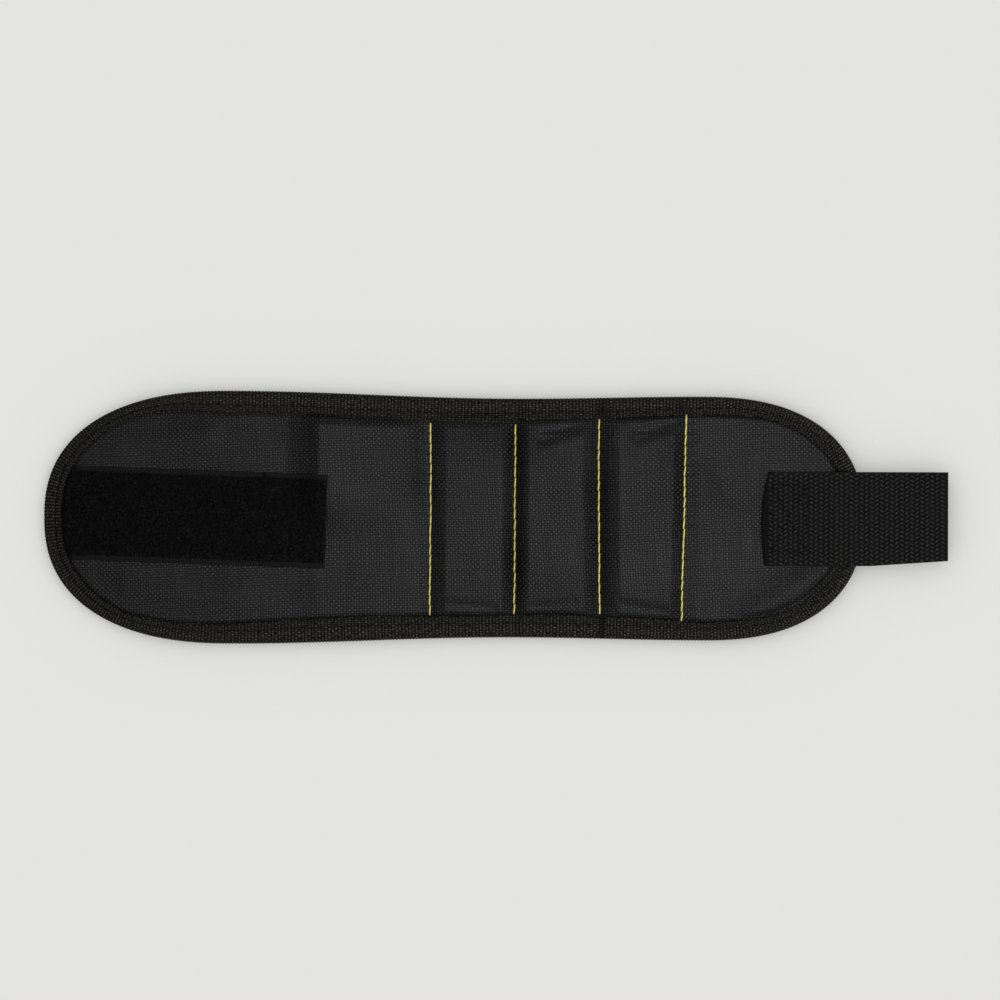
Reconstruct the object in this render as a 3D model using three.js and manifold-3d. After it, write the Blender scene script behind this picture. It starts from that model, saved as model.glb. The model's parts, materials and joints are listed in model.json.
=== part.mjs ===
// Magnetic wristband, lying flat on its back with the front up.
// Millimetres, +Z up, +X along the band towards the strap. The origin is under the middle of the overall box.
import * as THREE from 'three';
import { mergeVertices } from 'three/addons/utils/BufferGeometryUtils.js';
import Module from 'manifold-3d';

const wasm = await Module();
wasm.setup();

// Lengths of the stiff stretches, from the loop end to the strap's tip
const LOOP_TIP_LENGTH = 45.7;
const LOOP_PANEL_LENGTH = 44.9;
const PLAIN_PANEL_LENGTH = 33.5;
const STRAP_SIDE_LENGTH = 23.1;
const STRAP_END_LENGTH = 33.4;
const STRAP_OVERHANG = 5.6; // webbing past the band's edge, up to the tab's fold
const TAB_LENGTH = 21.2;
const FOLD_SLIT = 0.8; // width of the slit that parts the layers at a fold

// Magnets and the carriers that hold them
const POCKET_COUNT = 3;
const MAGNETS_PER_POCKET = 5;
const MAGNET_DIAMETER = 9;
const MAGNET_THICKNESS = 2;
const MAGNET_CLEARANCE = 0.3; // around each magnet in its hole
const CARRIER_WALL = 1; // between neighbouring holes
const CARRIER_WIDTH = 18;
const CARRIER_SKIN = 0.1; // carrier above the magnets

// Outline of the band
const POCKET_SIDE_SLOPE = 4.5; // cloth from a carrier's long side down to the stitches
const POCKET_END_SLOPE = 3.6; // cloth from a carrier's end down to the binding
const LOOP_LOBE_FLARE = 2.25; // half width gained from the waist to the loop wing
const STRAP_LOBE_FLARE = 0.8; // half width gained from the waist to the strap wing
const LOOP_LOBE_REACH = 59.3; // from the loop wing's widest place to its end
const STRAP_LOBE_REACH = 50.7; // from the strap wing's widest place to its end
const END_FULLNESS = 2.35; // superellipse power of the rounded ends

// Thicknesses of the layers
const LAYER_GAP = 0.3;
const BINDING_WIDTH = 7.2;
const BINDING_THICKNESS = 0.8;
const PANEL_THICKNESS = 0.6;
const PAD_THICKNESS = 2.4;
const SEWN_PAD_THICKNESS = 0.9; // where the binding pinches the lining
const LINING_HEM_SLOPE = 1.5; // lining from its underside up to the binding's lower leg

// Hook-and-loop closure, strap and thread
const STRAP_WIDTH = 30;
const STRAP_THICKNESS = 1.5;
const STRAP_SEWN_LENGTH = 32.4; // webbing on the band, from its sewn end to the band's edge
const STRAP_RAMP = 5; // webbing that climbs on to the binding
const TAB_FOLD_SLIT = 0.9;
const LOOP_THICKNESS = 1.4;
const LOOP_TILT = 1.9; // degrees that the loop patch was sewn off line
const LOOP_PATCH_SETBACK = 0.5; // from the fold behind the patch
const HOOK_THICKNESS = 1.4;
const HOOK_WIDTH = 28;
const HOOK_MARGIN = 0.5; // webbing left bare at the tab's tip
const HOOK_SETBACK = 1.5; // from the tab's fold
const THREAD_DIAMETER = 0.8;
const SEAM_OFFSET = 0.9; // from a line of stitches to the fold beside it

// Facets
const END_STEPS = 14;
const EDGE_STEP = 7;
const SLOPE_STEPS = 4;
const LINING_SLOPE_STEPS = 2;
const MAGNET_SIDES = 16;
const THREAD_SIDES = 8;

// Sizes that follow from the values above
const magnetPitch = MAGNET_DIAMETER + 2 * MAGNET_CLEARANCE + CARRIER_WALL;
const carrierLength = MAGNETS_PER_POCKET * magnetPitch + CARRIER_WALL;
const carrierThickness = MAGNET_THICKNESS + CARRIER_SKIN;
const pocketPitch = CARRIER_WIDTH + 2 * POCKET_SIDE_SLOPE;
const waistHalf = carrierLength / 2 + LAYER_GAP + POCKET_END_SLOPE + BINDING_WIDTH;
const loopHalf = waistHalf + LOOP_LOBE_FLARE;
const strapHalf = waistHalf + STRAP_LOBE_FLARE;

// Places along the band
const bandLength = LOOP_TIP_LENGTH + LOOP_PANEL_LENGTH + PLAIN_PANEL_LENGTH
  + POCKET_COUNT * pocketPitch + STRAP_SIDE_LENGTH + STRAP_END_LENGTH;
const loopEndX = -(bandLength + STRAP_OVERHANG + TAB_LENGTH) / 2;
const strapEndX = loopEndX + bandLength;
const tabFoldX = strapEndX + STRAP_OVERHANG;
const tabTipX = tabFoldX + TAB_LENGTH;
const loopLobeX = loopEndX + LOOP_LOBE_REACH;
const strapLobeX = strapEndX - STRAP_LOBE_REACH;
const loopFoldX = loopEndX + LOOP_TIP_LENGTH;
const patchFoldX = loopFoldX + LOOP_PANEL_LENGTH;
const pocketFolds = [];
for (let i = 0; i <= POCKET_COUNT; i += 1) {
  pocketFolds.push(patchFoldX + PLAIN_PANEL_LENGTH + i * pocketPitch);
}
const seams = pocketFolds.map((x) => x - SEAM_OFFSET);
const waistX = (seams[0] + seams[POCKET_COUNT]) / 2 - pocketPitch / 2;
const strapFoldX = pocketFolds[POCKET_COUNT] + STRAP_SIDE_LENGTH;

// Heights of the layers
const sewnPadBottom = BINDING_THICKNESS + LAYER_GAP;
const sewnPadTop = sewnPadBottom + SEWN_PAD_THICKNESS;
const sewnPanelBottom = sewnPadTop + LAYER_GAP;
const bindingInnerTop = sewnPanelBottom + PANEL_THICKNESS + LAYER_GAP;
const bindingTop = bindingInnerTop + BINDING_THICKNESS;
const panelBottom = PAD_THICKNESS + LAYER_GAP;
const panelTop = panelBottom + PANEL_THICKNESS;
const carrierTop = panelBottom + carrierThickness;
const pocketPanelBottom = carrierTop + LAYER_GAP;
const strapBottom = bindingTop + LAYER_GAP;

const MATERIALS = {
  oxford: new THREE.MeshStandardMaterial({ color: 0x2d2d2d, roughness: 0.85, metalness: 0 }),
  mesh: new THREE.MeshStandardMaterial({ color: 0x1f1f21, roughness: 0.9, metalness: 0 }),
  grosgrain: new THREE.MeshStandardMaterial({ color: 0x222120, roughness: 0.8, metalness: 0 }),
  loop: new THREE.MeshStandardMaterial({ color: 0x0e0e0f, roughness: 1, metalness: 0 }),
  hook: new THREE.MeshStandardMaterial({ color: 0x151515, roughness: 0.6, metalness: 0 }),
  webbing: new THREE.MeshStandardMaterial({ color: 0x1c1c1c, roughness: 0.75, metalness: 0 }),
  thread: new THREE.MeshStandardMaterial({ color: 0xb5ad62, roughness: 0.6, metalness: 0 }),
  nickel: new THREE.MeshStandardMaterial({ color: 0xc4c6c8, roughness: 0.25, metalness: 1 }),
  carrier: new THREE.MeshStandardMaterial({ color: 0x3b3c3e, roughness: 0.55, metalness: 0 }),
};

const band = new THREE.Group();

function addPiece(name, geometry, material) {
  const mesh = new THREE.Mesh(geometry, material);
  mesh.name = name;
  band.add(mesh);
  return mesh;
}

// Solids for cutting

function toSolid(geometry) {
  const bare = new THREE.BufferGeometry();
  bare.setAttribute('position', geometry.getAttribute('position').clone());
  if (geometry.index) bare.setIndex(geometry.index.clone());
  const merged = mergeVertices(bare, 1e-4);
  const corners = Array.from(merged.index.array);
  const triangles = [];
  for (let i = 0; i < corners.length; i += 3) {
    const [a, b, c] = corners.slice(i, i + 3);
    if (a !== b && b !== c && c !== a) triangles.push(a, b, c);
  }
  return new wasm.Manifold(new wasm.Mesh({
    numProp: 3,
    vertProperties: Float32Array.from(merged.getAttribute('position').array),
    triVerts: Uint32Array.from(triangles),
  }));
}

function toGeometry(solid) {
  const mesh = solid.getMesh();
  const geometry = new THREE.BufferGeometry();
  geometry.setAttribute('position', new THREE.BufferAttribute(Float32Array.from(mesh.vertProperties), 3));
  geometry.setIndex(Array.from(mesh.triVerts));
  geometry.computeVertexNormals();
  return geometry;
}

// A box solid between two corners
function boxSolid(low, high) {
  const geometry = new THREE.BoxGeometry(high[0] - low[0], high[1] - low[1], high[2] - low[2]);
  geometry.translate((low[0] + high[0]) / 2, (low[1] + high[1]) / 2, (low[2] + high[2]) / 2);
  return toSolid(geometry);
}

// Outline

const ease = (t) => 0.5 - 0.5 * Math.cos(Math.PI * Math.min(1, Math.max(0, t)));

const roundedEnd = (t, half) => half * Math.max(0, 1 - t ** END_FULLNESS) ** (1 / END_FULLNESS);

// Half the band's width at x, on a line that runs inset mm inside the edge
function halfWidth(x, inset) {
  if (x < loopLobeX) return roundedEnd((loopLobeX - x) / (LOOP_LOBE_REACH - inset), loopHalf - inset);
  if (x > strapLobeX) return roundedEnd((x - strapLobeX) / (STRAP_LOBE_REACH - inset), strapHalf - inset);
  const onLoopSide = x < waistX;
  const lobeX = onLoopSide ? loopLobeX : strapLobeX;
  const lobeHalf = onLoopSide ? loopHalf : strapHalf;
  return lobeHalf + (waistHalf - lobeHalf) * ease((x - lobeX) / (waistX - lobeX)) - inset;
}

// How far a point lies inside the edge, found by halving
function insetAt(x, y) {
  let low = 0;
  let high = STRAP_LOBE_REACH;
  for (let i = 0; i < 30; i += 1) {
    const middle = (low + high) / 2;
    if (halfWidth(x, middle) > Math.abs(y)) low = middle;
    else high = middle;
  }
  return low;
}

// Stations along x between two places, at most EDGE_STEP apart
function evenStations(from, to) {
  const count = Math.max(1, Math.ceil((to - from) / EDGE_STEP));
  return Array.from({ length: count }, (_, i) => from + ((to - from) * i) / count);
}

// Stations of a rounded end, closer together towards its tip; the first is at the widest place
function endStations(lobeX, reach, side) {
  return Array.from({ length: END_STEPS }, (_, i) => {
    const turn = (i / END_STEPS) * (Math.PI / 2);
    return lobeX + side * reach * Math.sin(turn) ** (2 / END_FULLNESS);
  });
}

// Points of the edge, once round, with the inside on the left
function edgePoints() {
  const middle = [...evenStations(loopLobeX, strapLobeX), strapLobeX].slice(1, -1);
  const loopSide = endStations(loopLobeX, LOOP_LOBE_REACH, -1).reverse();
  const strapSide = endStations(strapLobeX, STRAP_LOBE_REACH, 1);
  const upper = [...loopSide, ...middle, ...strapSide].map((x) => new THREE.Vector2(x, halfWidth(x, 0)));
  const lower = upper.map((p) => new THREE.Vector2(p.x, -p.y));
  return [new THREE.Vector2(loopEndX, 0), ...lower, new THREE.Vector2(strapEndX, 0), ...upper.reverse()];
}

// Soft layers

// How far the cloth has risen from the binding, 0 to 1
const riseFromEdge = (inset, slope) => ease((inset - BINDING_WIDTH - LAYER_GAP) / slope);

// How far the cloth has risen from the nearest line of stitches, 0 to 1
function riseFromSeam(x) {
  const distance = Math.min(...seams.map((seam) => Math.abs(x - seam)));
  return ease(distance / (POCKET_SIDE_SLOPE - LAYER_GAP));
}

const inPocket = (x) => x > seams[0] && x < seams[POCKET_COUNT];

function panelUnderside(x, y) {
  const crown = inPocket(x) ? pocketPanelBottom : panelBottom;
  const rise = riseFromSeam(x) * riseFromEdge(insetAt(x, y), POCKET_END_SLOPE);
  return sewnPanelBottom + (crown - sewnPanelBottom) * rise;
}

const panelFace = (x, y) => panelUnderside(x, y) + PANEL_THICKNESS;

function liningFace(x, y) {
  const rise = riseFromSeam(x) * riseFromEdge(insetAt(x, y), POCKET_END_SLOPE);
  return sewnPadTop + (PAD_THICKNESS - sewnPadTop) * rise;
}

const liningUnderside = (x, y) => sewnPadBottom * (1 - riseFromEdge(insetAt(x, y), LINING_HEM_SLOPE));

// Stations of a layer: its rounded ends, the tips of its inner rows, the slopes beside each seam,
// and the stretches between
function layerStations([edgeInset, ...innerInsets]) {
  const slope = POCKET_SIDE_SLOPE - LAYER_GAP;
  const list = [
    ...endStations(loopLobeX, LOOP_LOBE_REACH - edgeInset, -1),
    ...innerInsets.map((inset) => loopEndX + inset),
    ...evenStations(loopLobeX, seams[0] - slope),
    ...evenStations(seams[POCKET_COUNT] + slope, strapLobeX),
    ...innerInsets.map((inset) => strapEndX - inset),
    ...endStations(strapLobeX, STRAP_LOBE_REACH - edgeInset, 1),
  ];
  for (const seam of seams) {
    for (let i = -SLOPE_STEPS; i <= SLOPE_STEPS; i += 1) list.push(seam + (slope * i) / SLOPE_STEPS);
  }
  list.sort((a, b) => a - b);
  return list.filter((x, i) => i === 0 || x - list[i - 1] > LAYER_GAP);
}

// A closed layer over the whole band, between two height functions, with rows at given insets
function layerSolid(insets, underside, face) {
  const xs = layerStations(insets);
  const rows = [...insets.map((inset) => [-1, inset]), ...[...insets].reverse().map((inset) => [1, inset])];
  const positions = [];
  for (const height of [underside, face]) {
    for (const x of xs) {
      for (const [side, inset] of rows) {
        const y = side * halfWidth(x, inset);
        positions.push(x, y, height(x, y));
      }
    }
  }
  const count = rows.length;
  const level = xs.length * count;
  const faces = [];
  const quad = (a, b, c, d) => faces.push(a, b, c, a, c, d);
  for (let i = 0; i + 1 < xs.length; i += 1) {
    for (let j = 0; j + 1 < count; j += 1) {
      const a = i * count + j;
      quad(a, a + 1, a + count + 1, a + count);
      quad(a + level, a + level + count, a + level + count + 1, a + level + 1);
    }
    const low = i * count;
    const high = low + count - 1;
    quad(low, low + count, low + count + level, low + level);
    quad(high, high + level, high + count + level, high + count);
  }
  for (let j = 0; j + 1 < count; j += 1) {
    const last = (xs.length - 1) * count + j;
    quad(j, j + level, j + level + 1, j + 1);
    quad(last, last + 1, last + 1 + level, last + level);
  }
  const geometry = new THREE.BufferGeometry();
  geometry.setAttribute('position', new THREE.Float32BufferAttribute(positions, 3));
  geometry.setIndex(faces);
  return toSolid(geometry);
}

// Insets of a layer's rows: its hidden edge, then down the slope that starts at the binding
function slopeInsets(slope, steps) {
  const start = BINDING_WIDTH + LAYER_GAP;
  const list = [BINDING_THICKNESS + LAYER_GAP];
  for (let i = 0; i <= steps; i += 1) list.push(start + (slope * i) / steps);
  return list;
}

// The folded tape, swept once round the edge: a U lying on its side, open inwards
function bindingSolid() {
  const edge = edgePoints();
  const section = [
    [0, 0],
    [0, bindingTop],
    [BINDING_WIDTH, bindingTop],
    [BINDING_WIDTH, bindingInnerTop],
    [BINDING_THICKNESS, bindingInnerTop],
    [BINDING_THICKNESS, BINDING_THICKNESS],
    [BINDING_WIDTH, BINDING_THICKNESS],
    [BINDING_WIDTH, 0],
  ];
  const positions = [];
  edge.forEach((point, i) => {
    const before = edge[(i + edge.length - 1) % edge.length];
    const after = edge[(i + 1) % edge.length];
    const along = after.clone().sub(before).normalize();
    for (const [inset, z] of section) {
      positions.push(point.x - along.y * inset, point.y + along.x * inset, z);
    }
  });
  const faces = [];
  const count = section.length;
  for (let i = 0; i < edge.length; i += 1) {
    const next = (i + 1) % edge.length;
    for (let j = 0; j < count; j += 1) {
      const k = (j + 1) % count;
      const [a, b, c, d] = [i * count + j, next * count + j, next * count + k, i * count + k];
      faces.push(a, b, c, a, c, d);
    }
  }
  const geometry = new THREE.BufferGeometry();
  geometry.setAttribute('position', new THREE.Float32BufferAttribute(positions, 3));
  geometry.setIndex(faces);
  return toSolid(geometry);
}

// A flat strip with its side profile in x and z, extruded across the band
function strip(profile, width) {
  const shape = new THREE.Shape(profile.map(([x, z]) => new THREE.Vector2(x, z)));
  const geometry = new THREE.ExtrudeGeometry(shape, { depth: width, bevelEnabled: false });
  geometry.rotateX(Math.PI / 2);
  geometry.translate(0, width / 2, 0);
  return geometry;
}

// Stretches of the band between folds
const stretches = [
  { name: 'loop_tip', from: loopEndX, to: loopFoldX },
  { name: 'loop_panel', from: loopFoldX, to: patchFoldX },
  { name: 'plain_panel', from: patchFoldX, to: pocketFolds[0] },
  ...Array.from({ length: POCKET_COUNT }, (_, i) => (
    { name: `pocket_${i + 1}`, from: pocketFolds[i], to: pocketFolds[i + 1] })),
  { name: 'strap_side', from: pocketFolds[POCKET_COUNT], to: strapFoldX },
  { name: 'strap_end', from: strapFoldX, to: strapEndX },
];
const reach = loopHalf + BINDING_WIDTH; // past every edge of the layers
const cutTop = pocketPanelBottom + PANEL_THICKNESS + LOOP_THICKNESS + STRAP_THICKNESS;

// The space of one stretch, between the slits at its two folds; the outer ends are left whole
function stretchSpace({ from, to }, lowY = -reach, highY = reach) {
  const low = from === loopEndX ? from - reach : from + FOLD_SLIT / 2;
  const high = to === strapEndX ? to + reach : to - FOLD_SLIT / 2;
  return boxSolid([low, lowY, -cutTop], [high, highY, cutTop]);
}

function addLayers() {
  const panel = layerSolid(slopeInsets(POCKET_END_SLOPE, SLOPE_STEPS), panelUnderside, panelFace);
  const lining = layerSolid(slopeInsets(POCKET_END_SLOPE, LINING_SLOPE_STEPS), liningUnderside, liningFace);
  for (const stretch of stretches) {
    const space = stretchSpace(stretch);
    addPiece(`front_panel_${stretch.name}`, toGeometry(panel.intersect(space)), MATERIALS.oxford);
    addPiece(`lining_${stretch.name}`, toGeometry(lining.intersect(space)), MATERIALS.mesh);
  }
}

function addBinding() {
  const binding = bindingSolid();
  for (const stretch of stretches) {
    if (stretch.from === loopEndX || stretch.to === strapEndX) {
      const whole = toGeometry(binding.intersect(stretchSpace(stretch)));
      addPiece(`binding_${stretch.name}`, whole, MATERIALS.grosgrain);
      continue;
    }
    const upper = toGeometry(binding.intersect(stretchSpace(stretch, 0, reach)));
    const lower = toGeometry(binding.intersect(stretchSpace(stretch, -reach, 0)));
    addPiece(`binding_upper_${stretch.name}`, upper, MATERIALS.grosgrain);
    addPiece(`binding_lower_${stretch.name}`, lower, MATERIALS.grosgrain);
  }
}

// Carrier with a through hole for each magnet, and its magnets
function addMagnets() {
  for (let pocket = 0; pocket < POCKET_COUNT; pocket += 1) {
    const centreX = (seams[pocket] + seams[pocket + 1]) / 2;
    const shape = new THREE.Shape([
      new THREE.Vector2(-CARRIER_WIDTH / 2, -carrierLength / 2),
      new THREE.Vector2(CARRIER_WIDTH / 2, -carrierLength / 2),
      new THREE.Vector2(CARRIER_WIDTH / 2, carrierLength / 2),
      new THREE.Vector2(-CARRIER_WIDTH / 2, carrierLength / 2),
    ]);
    const holeRadius = MAGNET_DIAMETER / 2 + MAGNET_CLEARANCE;
    for (let i = 0; i < MAGNETS_PER_POCKET; i += 1) {
      const y = (i - (MAGNETS_PER_POCKET - 1) / 2) * magnetPitch;
      const hole = Array.from({ length: MAGNET_SIDES }, (_, k) => {
        const turn = (k / MAGNET_SIDES) * 2 * Math.PI;
        return new THREE.Vector2(holeRadius * Math.sin(turn), y + holeRadius * Math.cos(turn));
      });
      shape.holes.push(new THREE.Path(hole));
      const disc = new THREE.CylinderGeometry(
        MAGNET_DIAMETER / 2, MAGNET_DIAMETER / 2, MAGNET_THICKNESS, MAGNET_SIDES);
      const magnet = addPiece(`magnet_${pocket + 1}_${i + 1}`, disc, MATERIALS.nickel);
      magnet.rotation.x = Math.PI / 2;
      magnet.position.set(centreX, y, panelBottom + MAGNET_THICKNESS / 2);
    }
    const plate = new THREE.ExtrudeGeometry(shape, { depth: carrierThickness, bevelEnabled: false });
    const carrier = addPiece(`magnet_carrier_${pocket + 1}`, plate, MATERIALS.carrier);
    carrier.position.set(centreX, 0, panelBottom);
  }
}

// Loop patch: a tape along the loop wing, rounded off along the binding
function addLoopPatch() {
  const inset = BINDING_WIDTH + 2 * LAYER_GAP;
  const bottom = panelTop + LAYER_GAP;
  const top = bottom + LOOP_THICKNESS;
  const sheet = layerSolid([inset], () => bottom, () => top);
  const patchEndX = patchFoldX - LOOP_PATCH_SETBACK;
  const tape = new THREE.BoxGeometry(2 * (LOOP_TIP_LENGTH + LOOP_PANEL_LENGTH), STRAP_WIDTH, 2 * cutTop);
  tape.rotateZ(THREE.MathUtils.degToRad(-LOOP_TILT));
  tape.translate((loopEndX + patchEndX) / 2, 0, 0);
  const patch = sheet.intersect(toSolid(tape));
  const [tip, panel] = stretches;
  addPiece('loop_patch_tip', toGeometry(patch.intersect(stretchSpace(tip))), MATERIALS.loop);
  const behind = boxSolid([loopFoldX, -reach, -cutTop], [patchEndX, reach, cutTop]);
  const onPanel = patch.intersect(stretchSpace(panel)).intersect(behind);
  addPiece('loop_patch_panel', toGeometry(onPanel), MATERIALS.loop);
}

// Strap: a sewn stretch that climbs over the binding, and a tab that folds, with hooks underneath
function addStrap() {
  const sewnX = strapEndX - STRAP_SEWN_LENGTH;
  const sewnBottom = panelTop + LAYER_GAP;
  let climbX = strapEndX;
  while (halfWidth(climbX, BINDING_WIDTH + LAYER_GAP) < STRAP_WIDTH / 2) climbX -= LAYER_GAP;
  const foldX = tabFoldX - TAB_FOLD_SLIT / 2;
  const under = [
    [sewnX, sewnBottom],
    [climbX - STRAP_RAMP, sewnBottom],
    [climbX, strapBottom],
    [foldX, strapBottom],
  ];
  const over = under.map(([x, z]) => [x, z + STRAP_THICKNESS]).reverse();
  addPiece('strap_anchor', strip([...under, ...over], STRAP_WIDTH), MATERIALS.webbing);

  const tabX = tabFoldX + TAB_FOLD_SLIT / 2;
  const strapTop = strapBottom + STRAP_THICKNESS;
  const tab = [[tabX, strapBottom], [tabTipX, strapBottom], [tabTipX, strapTop], [tabX, strapTop]];
  addPiece('strap_tab', strip(tab, STRAP_WIDTH), MATERIALS.webbing);

  const hookTop = strapBottom - LAYER_GAP;
  const hookBottom = hookTop - HOOK_THICKNESS;
  const hookEnds = [tabFoldX + HOOK_SETBACK, tabTipX - HOOK_MARGIN];
  const hooks = [
    [hookEnds[0], hookBottom], [hookEnds[1], hookBottom], [hookEnds[1], hookTop], [hookEnds[0], hookTop]];
  addPiece('hook_patch', strip(hooks, HOOK_WIDTH), MATERIALS.hook);
}

// A line of thread across each seam, from binding to binding
function addStitches() {
  const radius = THREAD_DIAMETER / 2;
  const sewnPanelTop = sewnPanelBottom + PANEL_THICKNESS;
  seams.forEach((x, i) => {
    const length = 2 * (halfWidth(x, BINDING_WIDTH) - LAYER_GAP);
    const rod = new THREE.CylinderGeometry(radius, radius, length, THREAD_SIDES);
    const thread = addPiece(`stitch_line_${i + 1}`, rod, MATERIALS.thread);
    thread.position.set(x, 0, sewnPanelTop + LAYER_GAP / 2 + radius);
  });
}

addLayers();
addBinding();
addMagnets();
addLoopPatch();
addStrap();
addStitches();

export default band;
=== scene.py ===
"""Dresses the magnetic wristband: cloth, tapes, stitches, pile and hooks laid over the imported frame."""
import json
import math

import bpy
import numpy as np
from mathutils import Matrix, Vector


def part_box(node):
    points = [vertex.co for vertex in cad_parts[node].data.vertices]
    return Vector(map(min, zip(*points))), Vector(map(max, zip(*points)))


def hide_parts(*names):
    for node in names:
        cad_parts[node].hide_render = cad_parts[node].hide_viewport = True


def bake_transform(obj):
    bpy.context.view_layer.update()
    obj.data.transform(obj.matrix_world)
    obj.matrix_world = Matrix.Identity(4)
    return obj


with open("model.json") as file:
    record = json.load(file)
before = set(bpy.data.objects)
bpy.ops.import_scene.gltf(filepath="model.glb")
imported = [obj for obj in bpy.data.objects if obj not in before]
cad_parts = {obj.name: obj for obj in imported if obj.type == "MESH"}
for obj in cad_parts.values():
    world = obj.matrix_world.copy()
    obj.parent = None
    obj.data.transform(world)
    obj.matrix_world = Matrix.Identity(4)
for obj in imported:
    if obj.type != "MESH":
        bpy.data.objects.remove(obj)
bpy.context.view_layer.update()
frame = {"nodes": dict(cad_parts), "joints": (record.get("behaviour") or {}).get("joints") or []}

bl_info = {
    "name": "Magnetic wristband",
    "version": (1, 0, 0),
    "blender": (4, 5, 0),
    "location": "View3D > Sidebar > Wristband",
    "description": "Builds the cloth, tapes, stitches, pile and hooks of a magnetic wristband on its frame",
    "category": "Object",
}

MM = 0.001


# Sizes that the frame gives, in millimetres

def node_box(node):
    """Lowest and highest corner of a frame node, in millimetres."""
    low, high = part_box(node)
    return np.array(low) / MM, np.array(high) / MM


FOLD_X = {joint["name"]: joint["pos_m"][0] / MM for joint in frame["joints"]}
STRETCHES = (
    "loop_tip", "loop_panel", "plain_panel", "pocket_1", "pocket_2", "pocket_3", "strap_side", "strap_end",
)
# Each fold of the cloth: its joint, and how far the cloth bends on the loop side and on the strap side of it
FOLDS = (
    ("loop_tip_fold", 10.0, 10.0),
    ("loop_panel_fold", 8.0, 8.0),
    ("plain_panel_fold", 5.0, 4.0),
    ("pocket_1_fold", 5.0, 4.0),
    ("pocket_3_fold", 5.0, 4.0),
    ("strap_side_fold", 5.0, 4.0),
    ("strap_end_fold", 9.0, 0.8),
)
# The strap's tab: how far it bends on both sides of its fold, how much width it loses for each millimetre
# along, and how far past the band's end that begins
TAB_BEND = 3.5
TAB_TAPER = 0.068
TAPER_START = 2.0
TAB_X = FOLD_X["strap_tab_fold"]
TAB_FOLD = ("strap_end", "strap_tab", (TAB_X - TAB_BEND, TAB_X + TAB_BEND))
SEAM_BOXES = [node_box(f"stitch_line_{number}") for number in (1, 2, 3, 4)]
SEAM_X = [(low[0] + high[0]) / 2 for low, high in SEAM_BOXES]
LOOP_END_X = node_box("binding_loop_tip")[0][0]
STRAP_END_X = node_box("binding_strap_end")[1][0]
LOOP_HALF = node_box("binding_upper_loop_panel")[1][1]
STRAP_HALF = node_box("binding_upper_strap_side")[1][1]
EDGE_TOP = node_box("binding_loop_tip")[1][2]
EDGE_MIDDLE = EDGE_TOP / 2
PANEL_LOW = node_box("front_panel_loop_tip")[0][2]
POCKET_TOP = node_box("front_panel_pocket_2")[1][2]
WING_TOP = node_box("front_panel_loop_tip")[1][2]
LINING_TOP = node_box("lining_pocket_2")[1][2]
CARRIER_HIGH = node_box("magnet_carrier_2")[1]
CARRIER_GAP = SEAM_X[2] - CARRIER_HIGH[0]
STRAP_LOW, STRAP_HIGH = node_box("strap_anchor")
TAB_LOW, TAB_HIGH = node_box("strap_tab")
HOOK_LOW, HOOK_HIGH = node_box("hook_patch")
PATCH_LOW = node_box("loop_patch_tip")[0]
PATCH_HIGH = node_box("loop_patch_panel")[1]
PATCH_X = (PATCH_LOW[0] + PATCH_HIGH[0]) / 2

# The outline's curves, as the frame was drawn
LOOP_LOBE_REACH = 59.3
STRAP_LOBE_REACH = 50.7
END_FULLNESS = 2.35
WAIST_HALF = 38.1
LOOP_LOBE_X = LOOP_END_X + LOOP_LOBE_REACH
STRAP_LOBE_X = STRAP_END_X - STRAP_LOBE_REACH
WAIST_X = SEAM_X[1]
CREASE_X = -57.0
# How far each sewn line leans for each millimetre across the band, over what stretch of the cloth, and how
# wide the pockets' sides are before and after it
SEAM_LEAN = np.array([0.0, 0.0033, -0.0066, 0.02])
LEAN_SPREAD = 6
SIDE_BEFORE = np.array([4.8, 4.0, 5.1, 3.6])
SIDE_AFTER = np.array([4.9, 4.4, 6.7, 4.8])
# Height of a pocket's cloth at the binding's lip, and how much further the first pocket lifts the upper lip
POCKET_LIP = 0.7
FULL_LIP = 0.7
# From the middle of the band to where its upper half is full
UPPER_RUN = 8
# A pocket's steep rim beside the binding, its height and reach, and its crown: how much less than the frame's
# pocket it rises, and its reach
RIM_HEIGHT, RIM_REACH = 2.3, 2.0
CROWN_LESS, CROWN_REACH = 1.5, 18.0
# Depth of the two seams between pockets, and how far each draws the cloth down beside it
MIDDLE_SEAMS = ((1, 0.6, 2.5), (2, 0.85, 2.8))
# Height of the crease beside the plain panel, and how far the cloth takes to fall off past it
CREASE_HEIGHT, CREASE_FALL = 4.3, 27
# Cloth coordinates of the band's middle, so that they are above 0 all over
CLOTH_ORIGIN = (150.0, 50.0)
# Where the sum of the three rows' waves is at the rim and at the floor of a hole in the lining
HOLE_RIM, HOLE_FLOOR = 0.2, 2.4
# Half the binding's thickness at its line of stitches
SEWN_RISE = 1.7

# Share of the binding's full width that shows at places along the upper edge and the lower edge
UPPER_WIDTH = np.array([
    (-144, 0.78), (-122, 0.60), (-108, 0.65), (-88, 0.97), (-60, 0.97), (-43, 1.04), (0, 1.01), (15, 0.90),
    (35, 0.90), (60, 0.80), (78, 0.75), (87, 0.63), (105, 0.66), (112, 0.69),
])
LOWER_WIDTH = np.array([
    (-144, 0.78), (-120, 0.60), (-103, 0.77), (-82, 0.89), (-65, 1.01), (-43, 1.04), (-27, 1.0), (-6, 0.92),
    (15, 1.0), (39, 0.94), (60, 0.85), (66, 0.76), (76, 0.81), (90, 0.72), (105, 0.70), (112, 0.69),
])
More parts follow.
